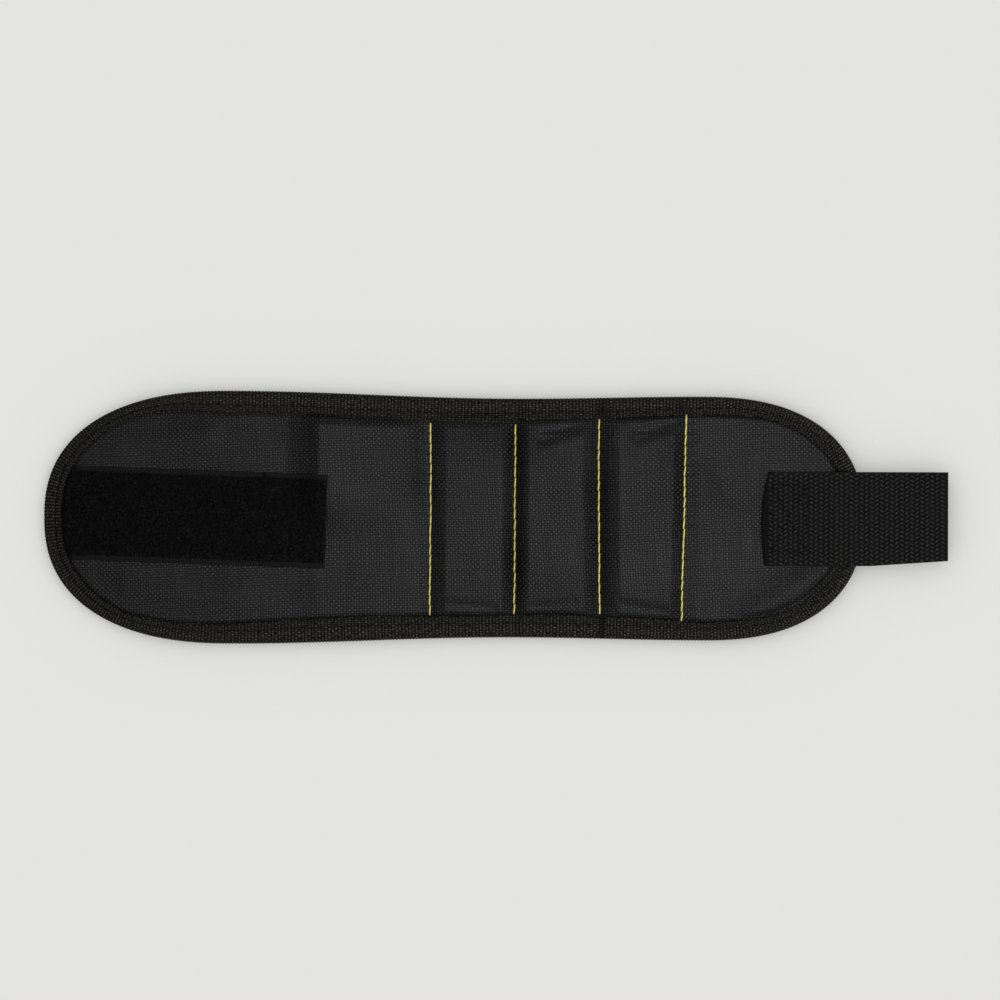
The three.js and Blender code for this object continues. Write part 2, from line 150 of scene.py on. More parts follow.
# Creases of the binding where the band was folded in use: upper or lower edge, place along the band, half
# width, depth, and how much of the tape's colour the painted shade in them leaves
TAPE_CREASES = (
    (1, 7.5, 2.0, 0.4, 0.6),
    (1, 33.6, 3.4, 0.95, 0.35),
    (1, 58.0, 4.0, 0.3, 0.65),
    (-1, 7.5, 2.0, 0.45, 0.6),
    (-1, 33.8, 1.4, 0.85, 0.05),
    (-1, 57.0, 2.0, 0.2, 0.75),
)
# Wrinkles of the front cloth: start, end, spread and height
WRINKLES = (
    ((15.0, 26.0), (26.5, 30.3), 2.1, -0.75),
    ((17.0, 22.3), (29.0, 26.5), 1.8, 0.15),
    ((45.5, 26.8), (57.0, 31.0), 2.1, -0.75),
    ((47.0, 22.5), (56.0, 27.0), 1.8, 0.15),
    ((-17.0, -27.0), (-1.0, -29.0), 1.5, -0.35),
    ((11.0, -28.5), (25.0, -27.0), 1.4, -0.3),
    ((38.0, -27.0), (54.0, -29.5), 1.6, -0.4),
    ((67.0, 20.0), (76.0, 6.0), 3.0, -0.25),
    ((84.0, -30.0), (106.0, -16.0), 6.0, -1.5),
    ((-120.0, 23.0), (-92.0, 27.0), 3.5, 0.3),
    ((-118.0, -22.0), (-84.0, -25.0), 4.0, 0.25),
)
# Lower end and upper end of each line of bright stitches
STITCH_RUNS = ((-31.1, 30.3), (-30.7, 29.9), (-30.6, 31.6), (-33.0, 33.2))


# Sizes and colours in the sidebar

def linear(hex_colour):
    """Linear RGBA of an sRGB hex colour."""
    parts = [int(hex_colour[k:k + 2], 16) / 255 for k in (1, 3, 5)]
    return tuple(c / 12.92 if c <= 0.04045 else ((c + 0.055) / 1.055) ** 2.4 for c in parts) + (1.0,)


def length(name, description, millimetres):
    """A length for the sidebar."""
    return bpy.props.FloatProperty(
        name=name, description=description, default=millimetres * MM, min=0.0, precision=5,
        subtype="DISTANCE", unit="LENGTH",
    )


def tint(name, description, hex_colour):
    """A colour for the sidebar."""
    return bpy.props.FloatVectorProperty(
        name=name, description=description, default=linear(hex_colour), size=4, min=0.0, max=1.0,
        subtype="COLOR",
    )


class WristbandSizes(bpy.types.PropertyGroup):
    """Sizes of the wristband's finishes."""

    cloth_thickness: length("Cloth thickness", "Thickness of the front cloth", 0.6)
    cloth_pitch: length("Cloth warp spacing", "From one thread across the band to the next", 0.84)
    cloth_pick: length("Cloth weft spacing", "From one thread along the band to the next", 0.78)
    mesh_pitch: length("Mesh hole spacing", "From one hole of the lining to the next", 3.2)
    mesh_depth: length("Mesh hole depth", "How deep the holes of the lining are", 0.55)
    binding_width: length("Binding width", "Width of the binding on each face, where it is full", 7.2)
    binding_pitch: length("Binding rib spacing", "From one rib of the binding to the next", 1.07)
    binding_pick: length("Binding thread spacing", "From one thread along the binding to the next", 0.62)
    binding_stitch: length("Binding stitch", "Length of one stitch on the binding", 2.9)
    groove_inset: length("Groove inset", "From the edge to the line of stitches on the binding", 4.6)
    selvedge: length("Selvedge", "Width of the plain edge of the loop patch", 1.7)
    pile_height: length("Pile height", "Height of the loops above their tape", 0.8)
    pocket_stitch: length("Pocket stitch", "Length of one stitch across the band", 3.3)
    pocket_thread: length("Pocket thread", "Thickness of the thread across the band", 0.54)
    yarn_column: length("Webbing column", "From one column of webbing yarns to the next", 1.61)
    yarn_row: length("Webbing row", "From one row of webbing yarns to the next", 1.39)
    hook_pitch: length("Hook spacing", "From one hook of the hook patch to the next", 1.45)


class WristbandColours(bpy.types.PropertyGroup):
    """Colours of the wristband's finishes."""

    cloth: tint("Cloth", "Front cloth, on top of a thread", "#303030")
    # Painted shade between the cloth's threads
    cloth_gap: tint("Cloth gaps", "Front cloth, between threads", "#090909")
    mesh: tint("Mesh", "Lining", "#3d3d40")
    # Painted shade at the bottom of the lining's holes
    mesh_hole_shade: tint("Mesh holes", "Bottom of the lining's holes", "#0a0a0b")
    binding: tint("Binding", "Binding tape", "#42403c")
    # Painted shade between the binding's ribs
    binding_gap: tint("Binding gaps", "Binding tape, between ribs", "#050504")
    pile: tint("Pile", "Loop patch", "#0e0e0f")
    selvedge: tint("Selvedge", "Plain edges of the loop patch", "#1f1f20")
    webbing: tint("Webbing", "Strap", "#191919")
    hooks: tint("Hooks", "Hook patch", "#1b1b1c")
    bright_thread: tint("Pocket thread", "Thread across the band", "#d9cf6a")
    # Also painted shade on the strap's core and turned end
    dark_thread_and_painted_shade: tint("Dark thread", "Thread on the binding and the strap", "#0c0c0b")
    magnet: tint("Magnet", "Plating of the magnets", "#b9b9ba")
    carrier: tint("Carrier", "Plate that holds the magnets", "#3a3b3d")
    backdrop: tint("Backdrop", "Floor and background", "#e4e4e2")


def size(name):
    """A size from the sidebar, in millimetres."""
    return getattr(bpy.context.scene.wristband_sizes, name) / MM


def colour(name):
    """A colour from the sidebar."""
    return tuple(getattr(bpy.context.scene.wristband_colours, name))


# Curves

def ease(t):
    """Smooth step from 0 to 1."""
    return 0.5 - 0.5 * np.cos(math.pi * np.clip(t, 0, 1))


def rounding(t, power):
    """Steep rise from 0 that rounds over to 1."""
    return 1 - (1 - np.clip(t, 0, 1)) ** power


def bump(x, centre, spread):
    """Bell curve of height 1."""
    return np.exp(-((x - centre) / spread) ** 2)


def furrow(x, y, start, end, spread):
    """Bell curve of height 1 along a straight line on the cloth."""
    start, end = np.array(start), np.array(end)
    way = end - start
    t = np.clip(((x - start[0]) * way[0] + (y - start[1]) * way[1]) / (way @ way), 0, 1)
    return bump(np.hypot(x - start[0] - t * way[0], y - start[1] - t * way[1]), 0, spread)


# The band's outline

def rounded_end(t, half):
    """Half width at share t of a rounded end's reach."""
    return half * np.maximum(0, 1 - np.clip(t, 0, 1) ** END_FULLNESS) ** (1 / END_FULLNESS)


def half_width(x, inset):
    """Half width of the band at x, a given way in from its edge."""
    x, inset = np.broadcast_arrays(np.asarray(x, float), np.asarray(inset, float))
    loop = rounded_end((LOOP_LOBE_X - x) / (LOOP_LOBE_REACH - inset), LOOP_HALF - inset)
    strap = rounded_end((x - STRAP_LOBE_X) / (STRAP_LOBE_REACH - inset), STRAP_HALF - inset)
    lobe_x = np.where(x < WAIST_X, LOOP_LOBE_X, STRAP_LOBE_X)
    lobe_half = np.where(x < WAIST_X, LOOP_HALF, STRAP_HALF)
    middle = lobe_half + (WAIST_HALF - lobe_half) * ease((x - lobe_x) / (WAIST_X - lobe_x)) - inset
    return np.where(x < LOOP_LOBE_X, loop, np.where(x > STRAP_LOBE_X, strap, middle))


def inset_of(x, y):
    """How far in from the band's edge a place is, by halving."""
    halvings, room = 24, 0.5
    low, high = np.zeros_like(x), np.full_like(x, min(LOOP_HALF, STRAP_HALF) - room)
    for _ in range(halvings):
        middle = (low + high) / 2
        inside = half_width(x, middle) > np.abs(y)
        low, high = np.where(inside, middle, low), np.where(inside, high, middle)
    return low


def edge_path(step):
    """Even places round the band's edge, clockwise from the loop end, each with its way in and its walk."""
    turn = np.linspace(0, math.pi / 2, 500)
    loop_x = LOOP_LOBE_X - LOOP_LOBE_REACH * np.cos(turn) ** (2 / END_FULLNESS)
    loop_y = LOOP_HALF * np.sin(turn) ** (2 / END_FULLNESS)
    strap_x = STRAP_LOBE_X + STRAP_LOBE_REACH * np.sin(turn) ** (2 / END_FULLNESS)
    strap_y = STRAP_HALF * np.cos(turn) ** (2 / END_FULLNESS)
    middle_x = np.linspace(LOOP_LOBE_X, STRAP_LOBE_X, 400)[1:-1]
    parts = ((loop_x, loop_y), (middle_x, half_width(middle_x, 0)), (strap_x, strap_y))
    upper = np.concatenate([np.stack(part, 1) for part in parts])
    path = np.concatenate([upper, upper[-2::-1] * (1, -1)])
    walked = np.concatenate([[0], np.cumsum(np.linalg.norm(np.diff(path, axis=0), axis=1))])
    count = 2 * round(walked[-1] / step / 2)
    at = np.linspace(0, walked[-1], count + 1)
    places = np.stack([np.interp(at, walked, path[:, axis]) for axis in (0, 1)], 1)
    along = np.gradient(np.concatenate([places[-2:-1], places, places[1:2]]), axis=0)[1:-1]
    along /= np.linalg.norm(along, axis=1, keepdims=True)
    return places, np.stack([along[:, 1], -along[:, 0]], 1), at


def tape_width(x, y):
    """Width of the binding, which was not folded evenly: it is narrower round both ends of the band."""
    upper, lower = (np.interp(x, table[:, 0], table[:, 1]) for table in (UPPER_WIDTH, LOWER_WIDTH))
    half_way = 10
    return size("binding_width") * (lower + (upper - lower) * ease((y + half_way) / (2 * half_way)))


def past_seams(x, y):
    """How far a place is past each sewn line, along the band."""
    return np.stack([x - seam - lean * y for seam, lean in zip(SEAM_X, SEAM_LEAN)])


def lean_with_seams(x, y):
    """Places moved so that a straight row at a sewn line leans as it does."""
    return x + sum(lean * y * bump(x, seam, LEAN_SPREAD) for seam, lean in zip(SEAM_X, SEAM_LEAN))


# The layers' heights

def crease_rise(x):
    """Share of the rise from the loop wing to the crease beside the plain panel, with a rounded top."""
    ways, run = (-0.9, -0.3, 0.3, 0.9), 10
    return np.mean([np.clip((x + way - CREASE_X) / run + 1, 0, 1) ** 1.9 for way in ways], axis=0)


def panel_top(x, y):
    """Height of the front cloth: crowned pockets between sewn lines, a plain panel and two lower wings."""
    sewn = PANEL_LOW + size("cloth_thickness")
    inset = inset_of(x, y) - tape_width(x, y)
    past = past_seams(x, y)
    nearest = np.argmin(np.abs(past), axis=0)
    from_seam = np.min(np.abs(past), axis=0)
    in_pocket = (past[0] > 0) & (past[-1] < 0)
    # A pocket's sides stand steep at the stitches and round over to its flat top
    beyond = np.take_along_axis(past, nearest[None], 0)[0] > 0
    reach = np.where(beyond, SIDE_AFTER[nearest], SIDE_BEFORE[nearest])
    side = rounding(from_seam / reach, 1.4)
    rim = rounding(inset / RIM_REACH, 2)
    crown = (POCKET_TOP - sewn - CROWN_LESS) * rounding(inset / CROWN_REACH, 2)
    under_tape = ease((inset + 1.2) / 1.2)
    # The first pocket is fullest at its upper edge
    lip = POCKET_LIP + FULL_LIP * ease(y / UPPER_RUN) * (past[1] < 0)
    pocket = (lip + (RIM_HEIGHT - lip) * rim + crown) * side * under_tape
    flat = (WING_TOP + 0.15 - sewn) * ease(from_seam / 6) * ease((inset + 0.6) / 1.8)
    top = sewn + np.where(in_pocket, pocket, flat)
    # Between two pockets the stitches pull the cloth deeper into the lining
    pull = sum(deep * bump(past[seam], 0, spread) for seam, deep, spread in MIDDLE_SEAMS)
    top -= pull * ease((inset + 5) / 4)
    # Past a crease the loop wing lies lower than the plain panel
    ridge = crease_rise(x) * np.exp(-np.maximum(0, x - CREASE_X) / CREASE_FALL)
    ridge = CREASE_HEIGHT * ridge * (0.1 + 0.9 * ease((y + 12) / 22))
    top += ridge * ease((inset + 2) / 5) * ease((SEAM_X[0] - x) / 10)
    # Each stitch pulls the cloth down, so the sides of a seam pucker
    sway = np.cos(2 * math.pi * (y / size("pocket_stitch") + 0.37 * nearest))
    top += 0.12 * sway * bump(from_seam, 1.6, 1.5) * ease(inset / 2)
    # The cloth dives under the lip of the binding, deepest along the lower edge and at the strap's side
    tucked = 0.15 + 0.85 * np.maximum(ease((4 - y) / 8), ease((x - 36) / 8))
    top -= 0.65 * tucked * bump(inset, 0.2, 0.48) * (inset > -0.6)
    for start, end, spread, height in WRINKLES:
        top += height * furrow(x, y, start, end, spread) * ease(inset / 2.5)
    # The cloth of a pocket lies on its carrier and falls off steeply past the carrier's edges
    past_edge = np.maximum(np.maximum(CARRIER_GAP - from_seam, np.abs(y) - CARRIER_HIGH[1]), 0)
    lowest = CARRIER_HIGH[2] + size("cloth_thickness") + 0.1 - 1.1 * past_edge
    top = np.where(in_pocket, np.maximum(top, lowest), top)
    # Slow waves of cloth that was not stretched flat
    slow = np.sin(x / 17.0 + y / 23.0) + np.sin(x / 11.0 - y / 15.0 + 1.3)
    return top + 0.09 * slow * ease(inset / 6)


def on_cloth(x, y):
    """Cloth coordinates of a place: threads wander a little from straight and lie slightly askew."""
    u = x + 0.045 * y + 0.5 * np.sin(y / 19 + x / 31)
    v = y - 0.03 * x + 0.4 * np.sin(x / 23 + 0.7)
    return u + CLOTH_ORIGIN[0], v + CLOTH_ORIGIN[1]


def hole_rows():
    """Three rows that the lining's holes stand in: turn of the wave for each millimetre along and across."""
    turn = 4 * math.pi / (math.sqrt(3) * size("mesh_pitch"))
    return [(turn * math.cos(angle), turn * math.sin(angle)) for angle in (0, math.pi / 3, -math.pi / 3)]


def mesh_bottom(x, y):
    """Height of the lining's back: a soft pad with rows of holes, drawn in at the sewn lines and the edge."""
    inset = inset_of(x, y) - tape_width(x, y)
    from_seam = np.min(np.abs(past_seams(x, y)), axis=0)
    hem_rise, hem_run, quilt_rise, quilt_spread = 1.1, 2.4, 0.75, 2.0
    hem = hem_rise * (1 - ease((inset + 0.3) / hem_run))
    quilt = quilt_rise * bump(from_seam, 0, quilt_spread)
    u, v = on_cloth(x, y)
    ridges = sum(np.cos(u * way[0] + v * way[1]) for way in hole_rows())
    holes = ease((ridges - HOLE_RIM) / (HOLE_FLOOR - HOLE_RIM)) * ease(inset / 1.5)
    return np.maximum(hem, quilt) + size("mesh_depth") * holes


def strap_start(y):
    """Where the strap's turned end begins: it bows out between its corners."""
    from_middle, upper_bow, upper_run, lower_bow, lower_run = y + 2, 2.4, 17, 1.2, 13
    upper = upper_bow * (from_middle / upper_run) ** 2
    lower = lower_bow * (from_middle / lower_run) ** 2
    return STRAP_LOW[0] - 0.6 + np.where(from_middle > 0, upper, lower)


def strap_top(x):
    """Height of the strap's upper face: flat on the panel, then up over the binding."""
    sewn_height, ramp_before_end, ramp = 1.25, 13, 5
    flat = STRAP_LOW[2] + sewn_height
    return flat + (TAB_HIGH[2] - flat) * ease((x - (STRAP_END_X - ramp_before_end)) / ramp)


def tapered(x, y):
    """Place across the strap, whose tab is drawn in along its lower edge towards the tip."""
    lost = TAB_TAPER * np.maximum(0, x - STRAP_END_X - TAPER_START)
    return STRAP_HIGH[1] - (STRAP_HIGH[1] - y) * (1 - lost / (STRAP_HIGH[1] - STRAP_LOW[1]))


# Shapes gathered from grids and tubes

class Shape:
    """Points, cloth coordinates and faces of one piece, in millimetres."""

    # Edges that turn more than this stay sharp
    sharp = math.radians(50)

    def __init__(self):
        self.points, self.cloth, self.faces, self.count = [], [], [], 0

    def add(self, points, cloth, groups, finish=0):
        """Adds points with their cloth coordinates and groups of faces, each with one number of corners."""
        self.faces += [(np.asarray(corners) + self.count, finish) for corners in groups if len(corners)]
        self.points.append(np.asarray(points, float).reshape(-1, 3))
        self.cloth.append(np.asarray(cloth, float).reshape(-1, 2))
        self.count += len(self.points[-1])

    def piece(self, name, materials, fold, nodes, slot):
        """Makes the object and hides the frame's nodes that it stands for; the fold and the slot are not
        used.
        """
        points, cloth = np.concatenate(self.points), np.concatenate(self.cloth)
        corners = np.concatenate([group.ravel() for group, _ in self.faces]).astype(np.int32)
        counts = np.concatenate([np.full(len(group), group.shape[1]) for group, _ in self.faces])
        finishes = np.concatenate([np.full(len(group), finish) for group, finish in self.faces])
        mesh = bpy.data.meshes.new(name)
        mesh.vertices.add(len(points))
        mesh.vertices.foreach_set("co", (points * MM).astype(np.float32).ravel())
        mesh.loops.add(len(corners))
        mesh.loops.foreach_set("vertex_index", corners)
        mesh.polygons.add(len(counts))
        mesh.polygons.foreach_set("loop_start", (np.cumsum(counts) - counts).astype(np.int32))
        mesh.update(calc_edges=True)
        layer = mesh.uv_layers.new(name="cloth")
        layer.data.foreach_set("uv", (cloth[corners] * MM).astype(np.float32).ravel())
        for material in materials:
            mesh.materials.append(material)
        mesh.polygons.foreach_set("material_index", finishes.astype(np.int32))
        mesh.shade_smooth()
        mesh.set_sharp_from_angle(angle=self.sharp)
        if mesh.validate():
            raise RuntimeError(f"{name} has faulty faces")
        piece = bpy.data.objects.new(name, mesh)
        bpy.context.scene.collection.objects.link(piece)
        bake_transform(piece)
        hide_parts(*nodes)
        return piece


def add_slab(shape, x, y, top, bottom, finish=0):
    """Adds a closed slab from a grid of places with a top and a bottom height."""
    rows, columns = x.shape
    upper = np.arange(rows * columns).reshape(rows, columns)
    lower = upper + rows * columns
    faces = [np.stack(corners, -1).reshape(-1, 4) for corners in (
        (upper[:-1, :-1], upper[1:, :-1], upper[1:, 1:], upper[:-1, 1:]),
        (lower[:-1, :-1], lower[:-1, 1:], lower[1:, 1:], lower[1:, :-1]),
        (lower[:-1, 0], lower[1:, 0], upper[1:, 0], upper[:-1, 0]),
        (lower[1:, -1], lower[:-1, -1], upper[:-1, -1], upper[1:, -1]),
        (lower[0, 1:], lower[0, :-1], upper[0, :-1], upper[0, 1:]),
        (lower[-1, :-1], lower[-1, 1:], upper[-1, 1:], upper[-1, :-1]),
    )]
    points = np.concatenate([np.stack([x, y, z], -1).reshape(-1, 3) for z in (top, bottom)])
    shape.add(points, np.stack(on_cloth(points[:, 0], points[:, 1]), 1), faces, finish)


def add_tubes(shape, paths, across, wide, tall, sides, finish=0):
    """Adds a closed tube along each path. Across is square to each path, and wide and tall are half sizes."""
    count, steps, _ = paths.shape
    along = np.gradient(paths, axis=1)
    along /= np.linalg.norm(along, axis=2, keepdims=True)
    across = np.broadcast_to(across, paths.shape)
    up = np.cross(along, across)
    wide, tall = (np.broadcast_to(half, (count, steps))[..., None, None] for half in (wide, tall))
    turn = 2 * math.pi * np.arange(sides)[:, None] / sides
    points = (
        paths[:, :, None] + across[:, :, None] * wide * np.cos(turn) + up[:, :, None] * tall * np.sin(turn)
    )
    walked = np.cumsum(np.linalg.norm(np.diff(paths, axis=1, prepend=paths[:, :1]), axis=2), axis=1)
    # Each tube has its own stretch of the pattern
    shift = 3.7
    walked = walked + shift * np.arange(count)[:, None]
    girth = (wide[..., 0] + tall[..., 0]) * turn[:, 0] / 2
    cloth = np.stack(np.broadcast_arrays(walked[:, :, None], girth), -1)
    index = np.arange(count * steps * sides).reshape(count, steps, sides)
    after = np.roll(index, -1, axis=2)
    sleeves = np.stack([index[:, :-1], after[:, :-1], after[:, 1:], index[:, 1:]], -1).reshape(-1, 4)
    shape.add(points, cloth, [sleeves, index[:, 0, ::-1], index[:, -1]], finish)


def fold_spans():
    """For each fold: its bodies, the bend's start and end, and the stretch that its pieces cover."""
    bends = [(FOLD_X[joint] - before, FOLD_X[joint] + after) for joint, before, after in FOLDS]
    cuts = [-math.inf] + [(a[1] + b[0]) / 2 for a, b in zip(bends, bends[1:])] + [math.inf]
    return [
        (STRETCHES[k], STRETCHES[k + 1], bend, (cuts[k], cuts[k + 1])) for k, bend in enumerate(bends)
    ]


def layer_grid(fold, hem, step, shares):
    """Places of one fold's piece of a layer, a hem inside the band's edge: stations along it, x and y."""
    room = 0.4
    start = max(LOOP_END_X + hem + room, fold[3][0])
    end = min(STRAP_END_X - hem - room, fold[3][1])
    # Even steps from cut to seam and from seam to cut
    stops = [start] + [seam for seam in SEAM_X if start < seam < end] + [end]
    runs = [np.linspace(a, b, max(2, round((b - a) / step) + 1))[:-1] for a, b in zip(stops, stops[1:])]
    along = np.concatenate(runs + [[end]])
    y = shares * half_width(along, hem)[:, None]
    return along, lean_with_seams(along[:, None], y), y


def stood_for(kind, fold):
    """The frame's nodes that one fold's piece of a layer stands for."""
    return [f"{kind}_{fold[0]}", f"{kind}_{fold[1]}"]


# Materials

# Places of a mix node's sockets, whose names repeat: two floats, two colours, and the mixed colour
FLOAT_A, FLOAT_B, COLOUR_A, COLOUR_B, MIXED_COLOUR = 2, 3, 6, 7, 2
# Nearly all of a noise pattern lies in this part of its range
NOISE_SPREAD = {"From Min": 0.3, "From Max": 0.7}
# A wave pattern of scale 1 repeats after this many metres
WAVE_REPEAT = 0.314


def add_node(tree, kind, inputs=None, give=0, **settings):
    """Adds a node with its settings, sets or links its inputs, and gives one of its outputs."""
    node = tree.nodes.new("ShaderNode" + kind)
    for key, value in settings.items():
        setattr(node, key, value)
    for key, value in (inputs or {}).items():
        if isinstance(value, bpy.types.NodeSocket):
            tree.links.new(value, node.inputs[key])
        else:
            node.inputs[key].default_value = value
    return node.outputs[give] if node.outputs else None


def start_material(name):
    """A material with an empty node tree."""
    material = bpy.data.materials.new(name)
    material.use_nodes = True
    material.node_tree.nodes.clear()
    return material, material.node_tree


def woven(tree, place, pitch, pick):
    """Height of a plain weave with its thread spacings in millimetres, and 1 or 0 for the thread on top."""
    scale = (1 / (pitch * MM), 1 / (pick * MM), 1)
    threads = add_node(tree, "Mapping", {"Vector": place, "Scale": scale})
    over = add_node(tree, "TexChecker", {"Vector": threads, "Scale": 1.0}, "Fac")
    runs = add_node(tree, "SeparateXYZ", {0: threads}).node.outputs
    rounds = []
    for axis in ("X", "Y"):
        turn = add_node(tree, "Math", {0: runs[axis], 1: math.pi}, operation="MULTIPLY")
        wave = add_node(tree, "Math", {0: turn}, operation="SINE")
        rounds.append(add_node(tree, "Math", {0: wave}, operation="ABSOLUTE"))
    across = add_node(tree, "Mix", {"Factor": over, FLOAT_A: rounds[0], FLOAT_B: rounds[1]})
    along = add_node(tree, "Mix", {"Factor": over, FLOAT_A: rounds[1], FLOAT_B: rounds[0]})
    crest = add_node(tree, "MapRange", {"Value": along, "To Min": 0.25, "To Max": 1.0})
    return add_node(tree, "Math", {0: across, 1: crest}, operation="MULTIPLY"), over


def mottled(tree, place, millimetres, low, high):
    """Slow change of brightness over patches of a given size."""
    patches = {"Vector": place, "Scale": 1 / (millimetres * MM), "Detail": 3.0}
    noise = add_node(tree, "TexNoise", patches, "Fac")
    return add_node(tree, "MapRange", {"Value": noise, **NOISE_SPREAD, "To Min": low, "To Max": high})


def oxford_cloth():
    """Woven Oxford polyester: round threads over and under each other, dull black with a dry shine."""
    material, tree = start_material("woven_oxford_polyester")
    place = add_node(tree, "UVMap", uv_map="cloth")
    height, over = woven(tree, place, size("cloth_pitch"), size("cloth_pick"))
    # Painted shade between the threads: the gaps take a dark colour
    deep = add_node(tree, "MapRange", {"Value": height, "From Min": 0.15, "From Max": 0.95})
    shades = {COLOUR_A: colour("cloth_gap"), COLOUR_B: colour("cloth")}
    thread = add_node(tree, "Mix", {"Factor": deep, **shades}, MIXED_COLOUR, data_type="RGBA")
    # One set of threads is painted darker than the other, more so in some patches: painted shade for the
    # glint that only the other set catches on a slope
    fade = mottled(tree, place, millimetres=22, low=0.15, high=0.8)
    painted_set_shade = add_node(tree, "Mix", {"Factor": over, FLOAT_A: 1.0, FLOAT_B: fade})
    # Single threads are thicker or thinner, which shows as faint streaks along them
    thread_width, streak_length = 0.9 * MM, 25 * MM
    streaks = []
    for run in ((thread_width, streak_length), (streak_length, thread_width)):
        scale = (1 / run[0], 1 / run[1], 1)
        stretched = add_node(tree, "Mapping", {"Vector": place, "Scale": scale})
        streaks.append(add_node(tree, "TexNoise", {"Vector": stretched, "Scale": 1.0, "Detail": 1.0}, "Fac"))
    streak = add_node(tree, "Mix", {"Factor": over, FLOAT_A: streaks[0], FLOAT_B: streaks[1]})
    tone = add_node(tree, "MapRange", {"Value": streak, **NOISE_SPREAD, "To Min": 0.7, "To Max": 1.5})
    # Each crossing is painted a little lighter or darker than the next: painted light and shade for crossings
    # that lie a little higher or lower
    speckle = mottled(tree, place, millimetres=0.5, low=0.2, high=1.7)
    for share in (speckle, painted_set_shade):
        tone = add_node(tree, "Math", {0: tone, 1: share}, operation="MULTIPLY")
    crest = add_node(tree, "MapRange", {"Value": deep, "To Min": 0.46, "To Max": 0.26})
    shader = add_node(tree, "BsdfPrincipled", {
        "Base Color": add_node(tree, "VectorMath", {0: thread, 1: tone}, operation="MULTIPLY"),
        "Normal": add_node(tree, "Bump", {"Height": height, "Distance": 0.05 * MM}),
        "Roughness": add_node(tree, "Math", {0: over, 1: 0.07, 2: crest}, operation="MULTIPLY_ADD"),
        "Specular IOR Level": 0.065,
    })
    add_node(tree, "OutputMaterial", {"Surface": shader})
    return material


def spacer_mesh():
    """Knitted spacer mesh: soft matt loops, with painted shade down in the holes and between the loops."""
    material, tree = start_material("knitted_spacer_mesh")
    place = add_node(tree, "UVMap", uv_map="cloth")
    # The knit's loops are too fine to show and are drawn about twice as large
    loop = 0.55
    height, _ = woven(tree, place, loop, loop)
    waves = []
    for along, across in hole_rows():
        way = (along / MM, across / MM, 0)
        turn = add_node(tree, "VectorMath", {0: place, 1: way}, "Value", operation="DOT_PRODUCT")
        waves.append(add_node(tree, "Math", {0: turn}, operation="COSINE"))
    ridges = waves[0]
    for wave in waves[1:]:
        ridges = add_node(tree, "Math", {0: ridges, 1: wave}, operation="ADD")
    # Painted shade down in the holes
    lit_share = add_node(tree, "MapRange", {
        "Value": ridges, "From Min": HOLE_RIM, "From Max": HOLE_FLOOR, "To Min": 1.0, "To Max": 0.1,
    })
    # Painted shade between the knit's loops
    loops = add_node(tree, "MapRange", {"Value": height, "To Min": 0.35, "To Max": 1.0})
    lit_share = add_node(tree, "Math", {0: loops, 1: lit_share}, operation="MULTIPLY")
    shades = {COLOUR_A: colour("mesh_hole_shade"), COLOUR_B: colour("mesh")}
    knit = add_node(tree, "Mix", {"Factor": lit_share, **shades}, MIXED_COLOUR, data_type="RGBA")
    worn = mottled(tree, place, millimetres=6, low=0.85, high=1.15)
    shader = add_node(tree, "BsdfPrincipled", {
        "Base Color": add_node(tree, "VectorMath", {0: knit, 1: worn}, operation="MULTIPLY"),
        "Normal": add_node(tree, "Bump", {"Height": height, "Distance": 0.15 * MM, "Strength": 0.6}),
        "Roughness": 0.8, "Specular IOR Level": 0.08,
    })
    add_node(tree, "OutputMaterial", {"Surface": shader})
    return material


def grosgrain_tape():
    """Woven grosgrain tape: ribs across it, each a row of small knots, a little warmer than the cloth."""
    material, tree = start_material("woven_grosgrain_tape")
    place = add_node(tree, "UVMap", uv_map="cloth")
    height, over = woven(tree, place, size("binding_pitch"), size("binding_pick"))
    # Painted shade between the ribs: the gaps take a dark colour
    knots = add_node(tree, "MapRange", {"Value": height, "From Min": 0.36, "From Max": 0.88})
    shades = {COLOUR_A: colour("binding_gap"), COLOUR_B: colour("binding")}
    tape = add_node(tree, "Mix", {"Factor": knots, **shades}, MIXED_COLOUR, data_type="RGBA")
    # Every second knot is painted darker, as painted shade where it lies lower, and no two are alike
    tone = add_node(tree, "MapRange", {"Value": over, "To Min": 1.0, "To Max": 0.5})
    shares = [mottled(tree, place, millimetres=0.9, low=-0.2, high=2.1)]
    # Past its line of stitches the tape is darker
    walked = add_node(tree, "SeparateXYZ", {0: place}).node.outputs
    lip = (size("binding_width") - size("groove_inset")) * MM
    shares.append(add_node(tree, "MapRange", {
        "Value": walked["Y"], "From Min": 0.85 * lip, "From Max": 1.1 * lip, "To Min": 0.72, "To Max": 1.0,
    }))
    # Painted shade darkens its creases, where shade falls in the folds
    places, _, at = edge_path(size("binding_pitch") / 4)
    for edge, spot, wide, _, crease_shade in TAPE_CREASES:
        on_edge = edge * places[:, 1] > 0
        order = np.argsort(places[on_edge, 0])
        middle = np.interp(spot, places[on_edge, 0][order], at[on_edge][order]) * MM
        off = add_node(tree, "Math", {0: walked["X"], 1: middle}, operation="SUBTRACT")
        off = add_node(tree, "Math", {0: off}, operation="ABSOLUTE")
        shares.append(add_node(tree, "MapRange", {"Value": off, "From Max": wide * MM, "To Min": crease_shade}))
    for share in shares:
        tone = add_node(tree, "Math", {0: tone, 1: share}, operation="MULTIPLY")
    shader = add_node(tree, "BsdfPrincipled", {
        "Base Color": add_node(tree, "VectorMath", {0: tape, 1: tone}, operation="MULTIPLY"),
        "Normal": add_node(tree, "Bump", {"Height": height, "Distance": 0.15 * MM, "Strength": 0.5}),
        "Roughness": add_node(tree, "MapRange", {"Value": knots, "To Min": 0.6, "To Max": 0.34}),
        "Specular IOR Level": 0.06,
    })
    add_node(tree, "OutputMaterial", {"Surface": shader})
    return material


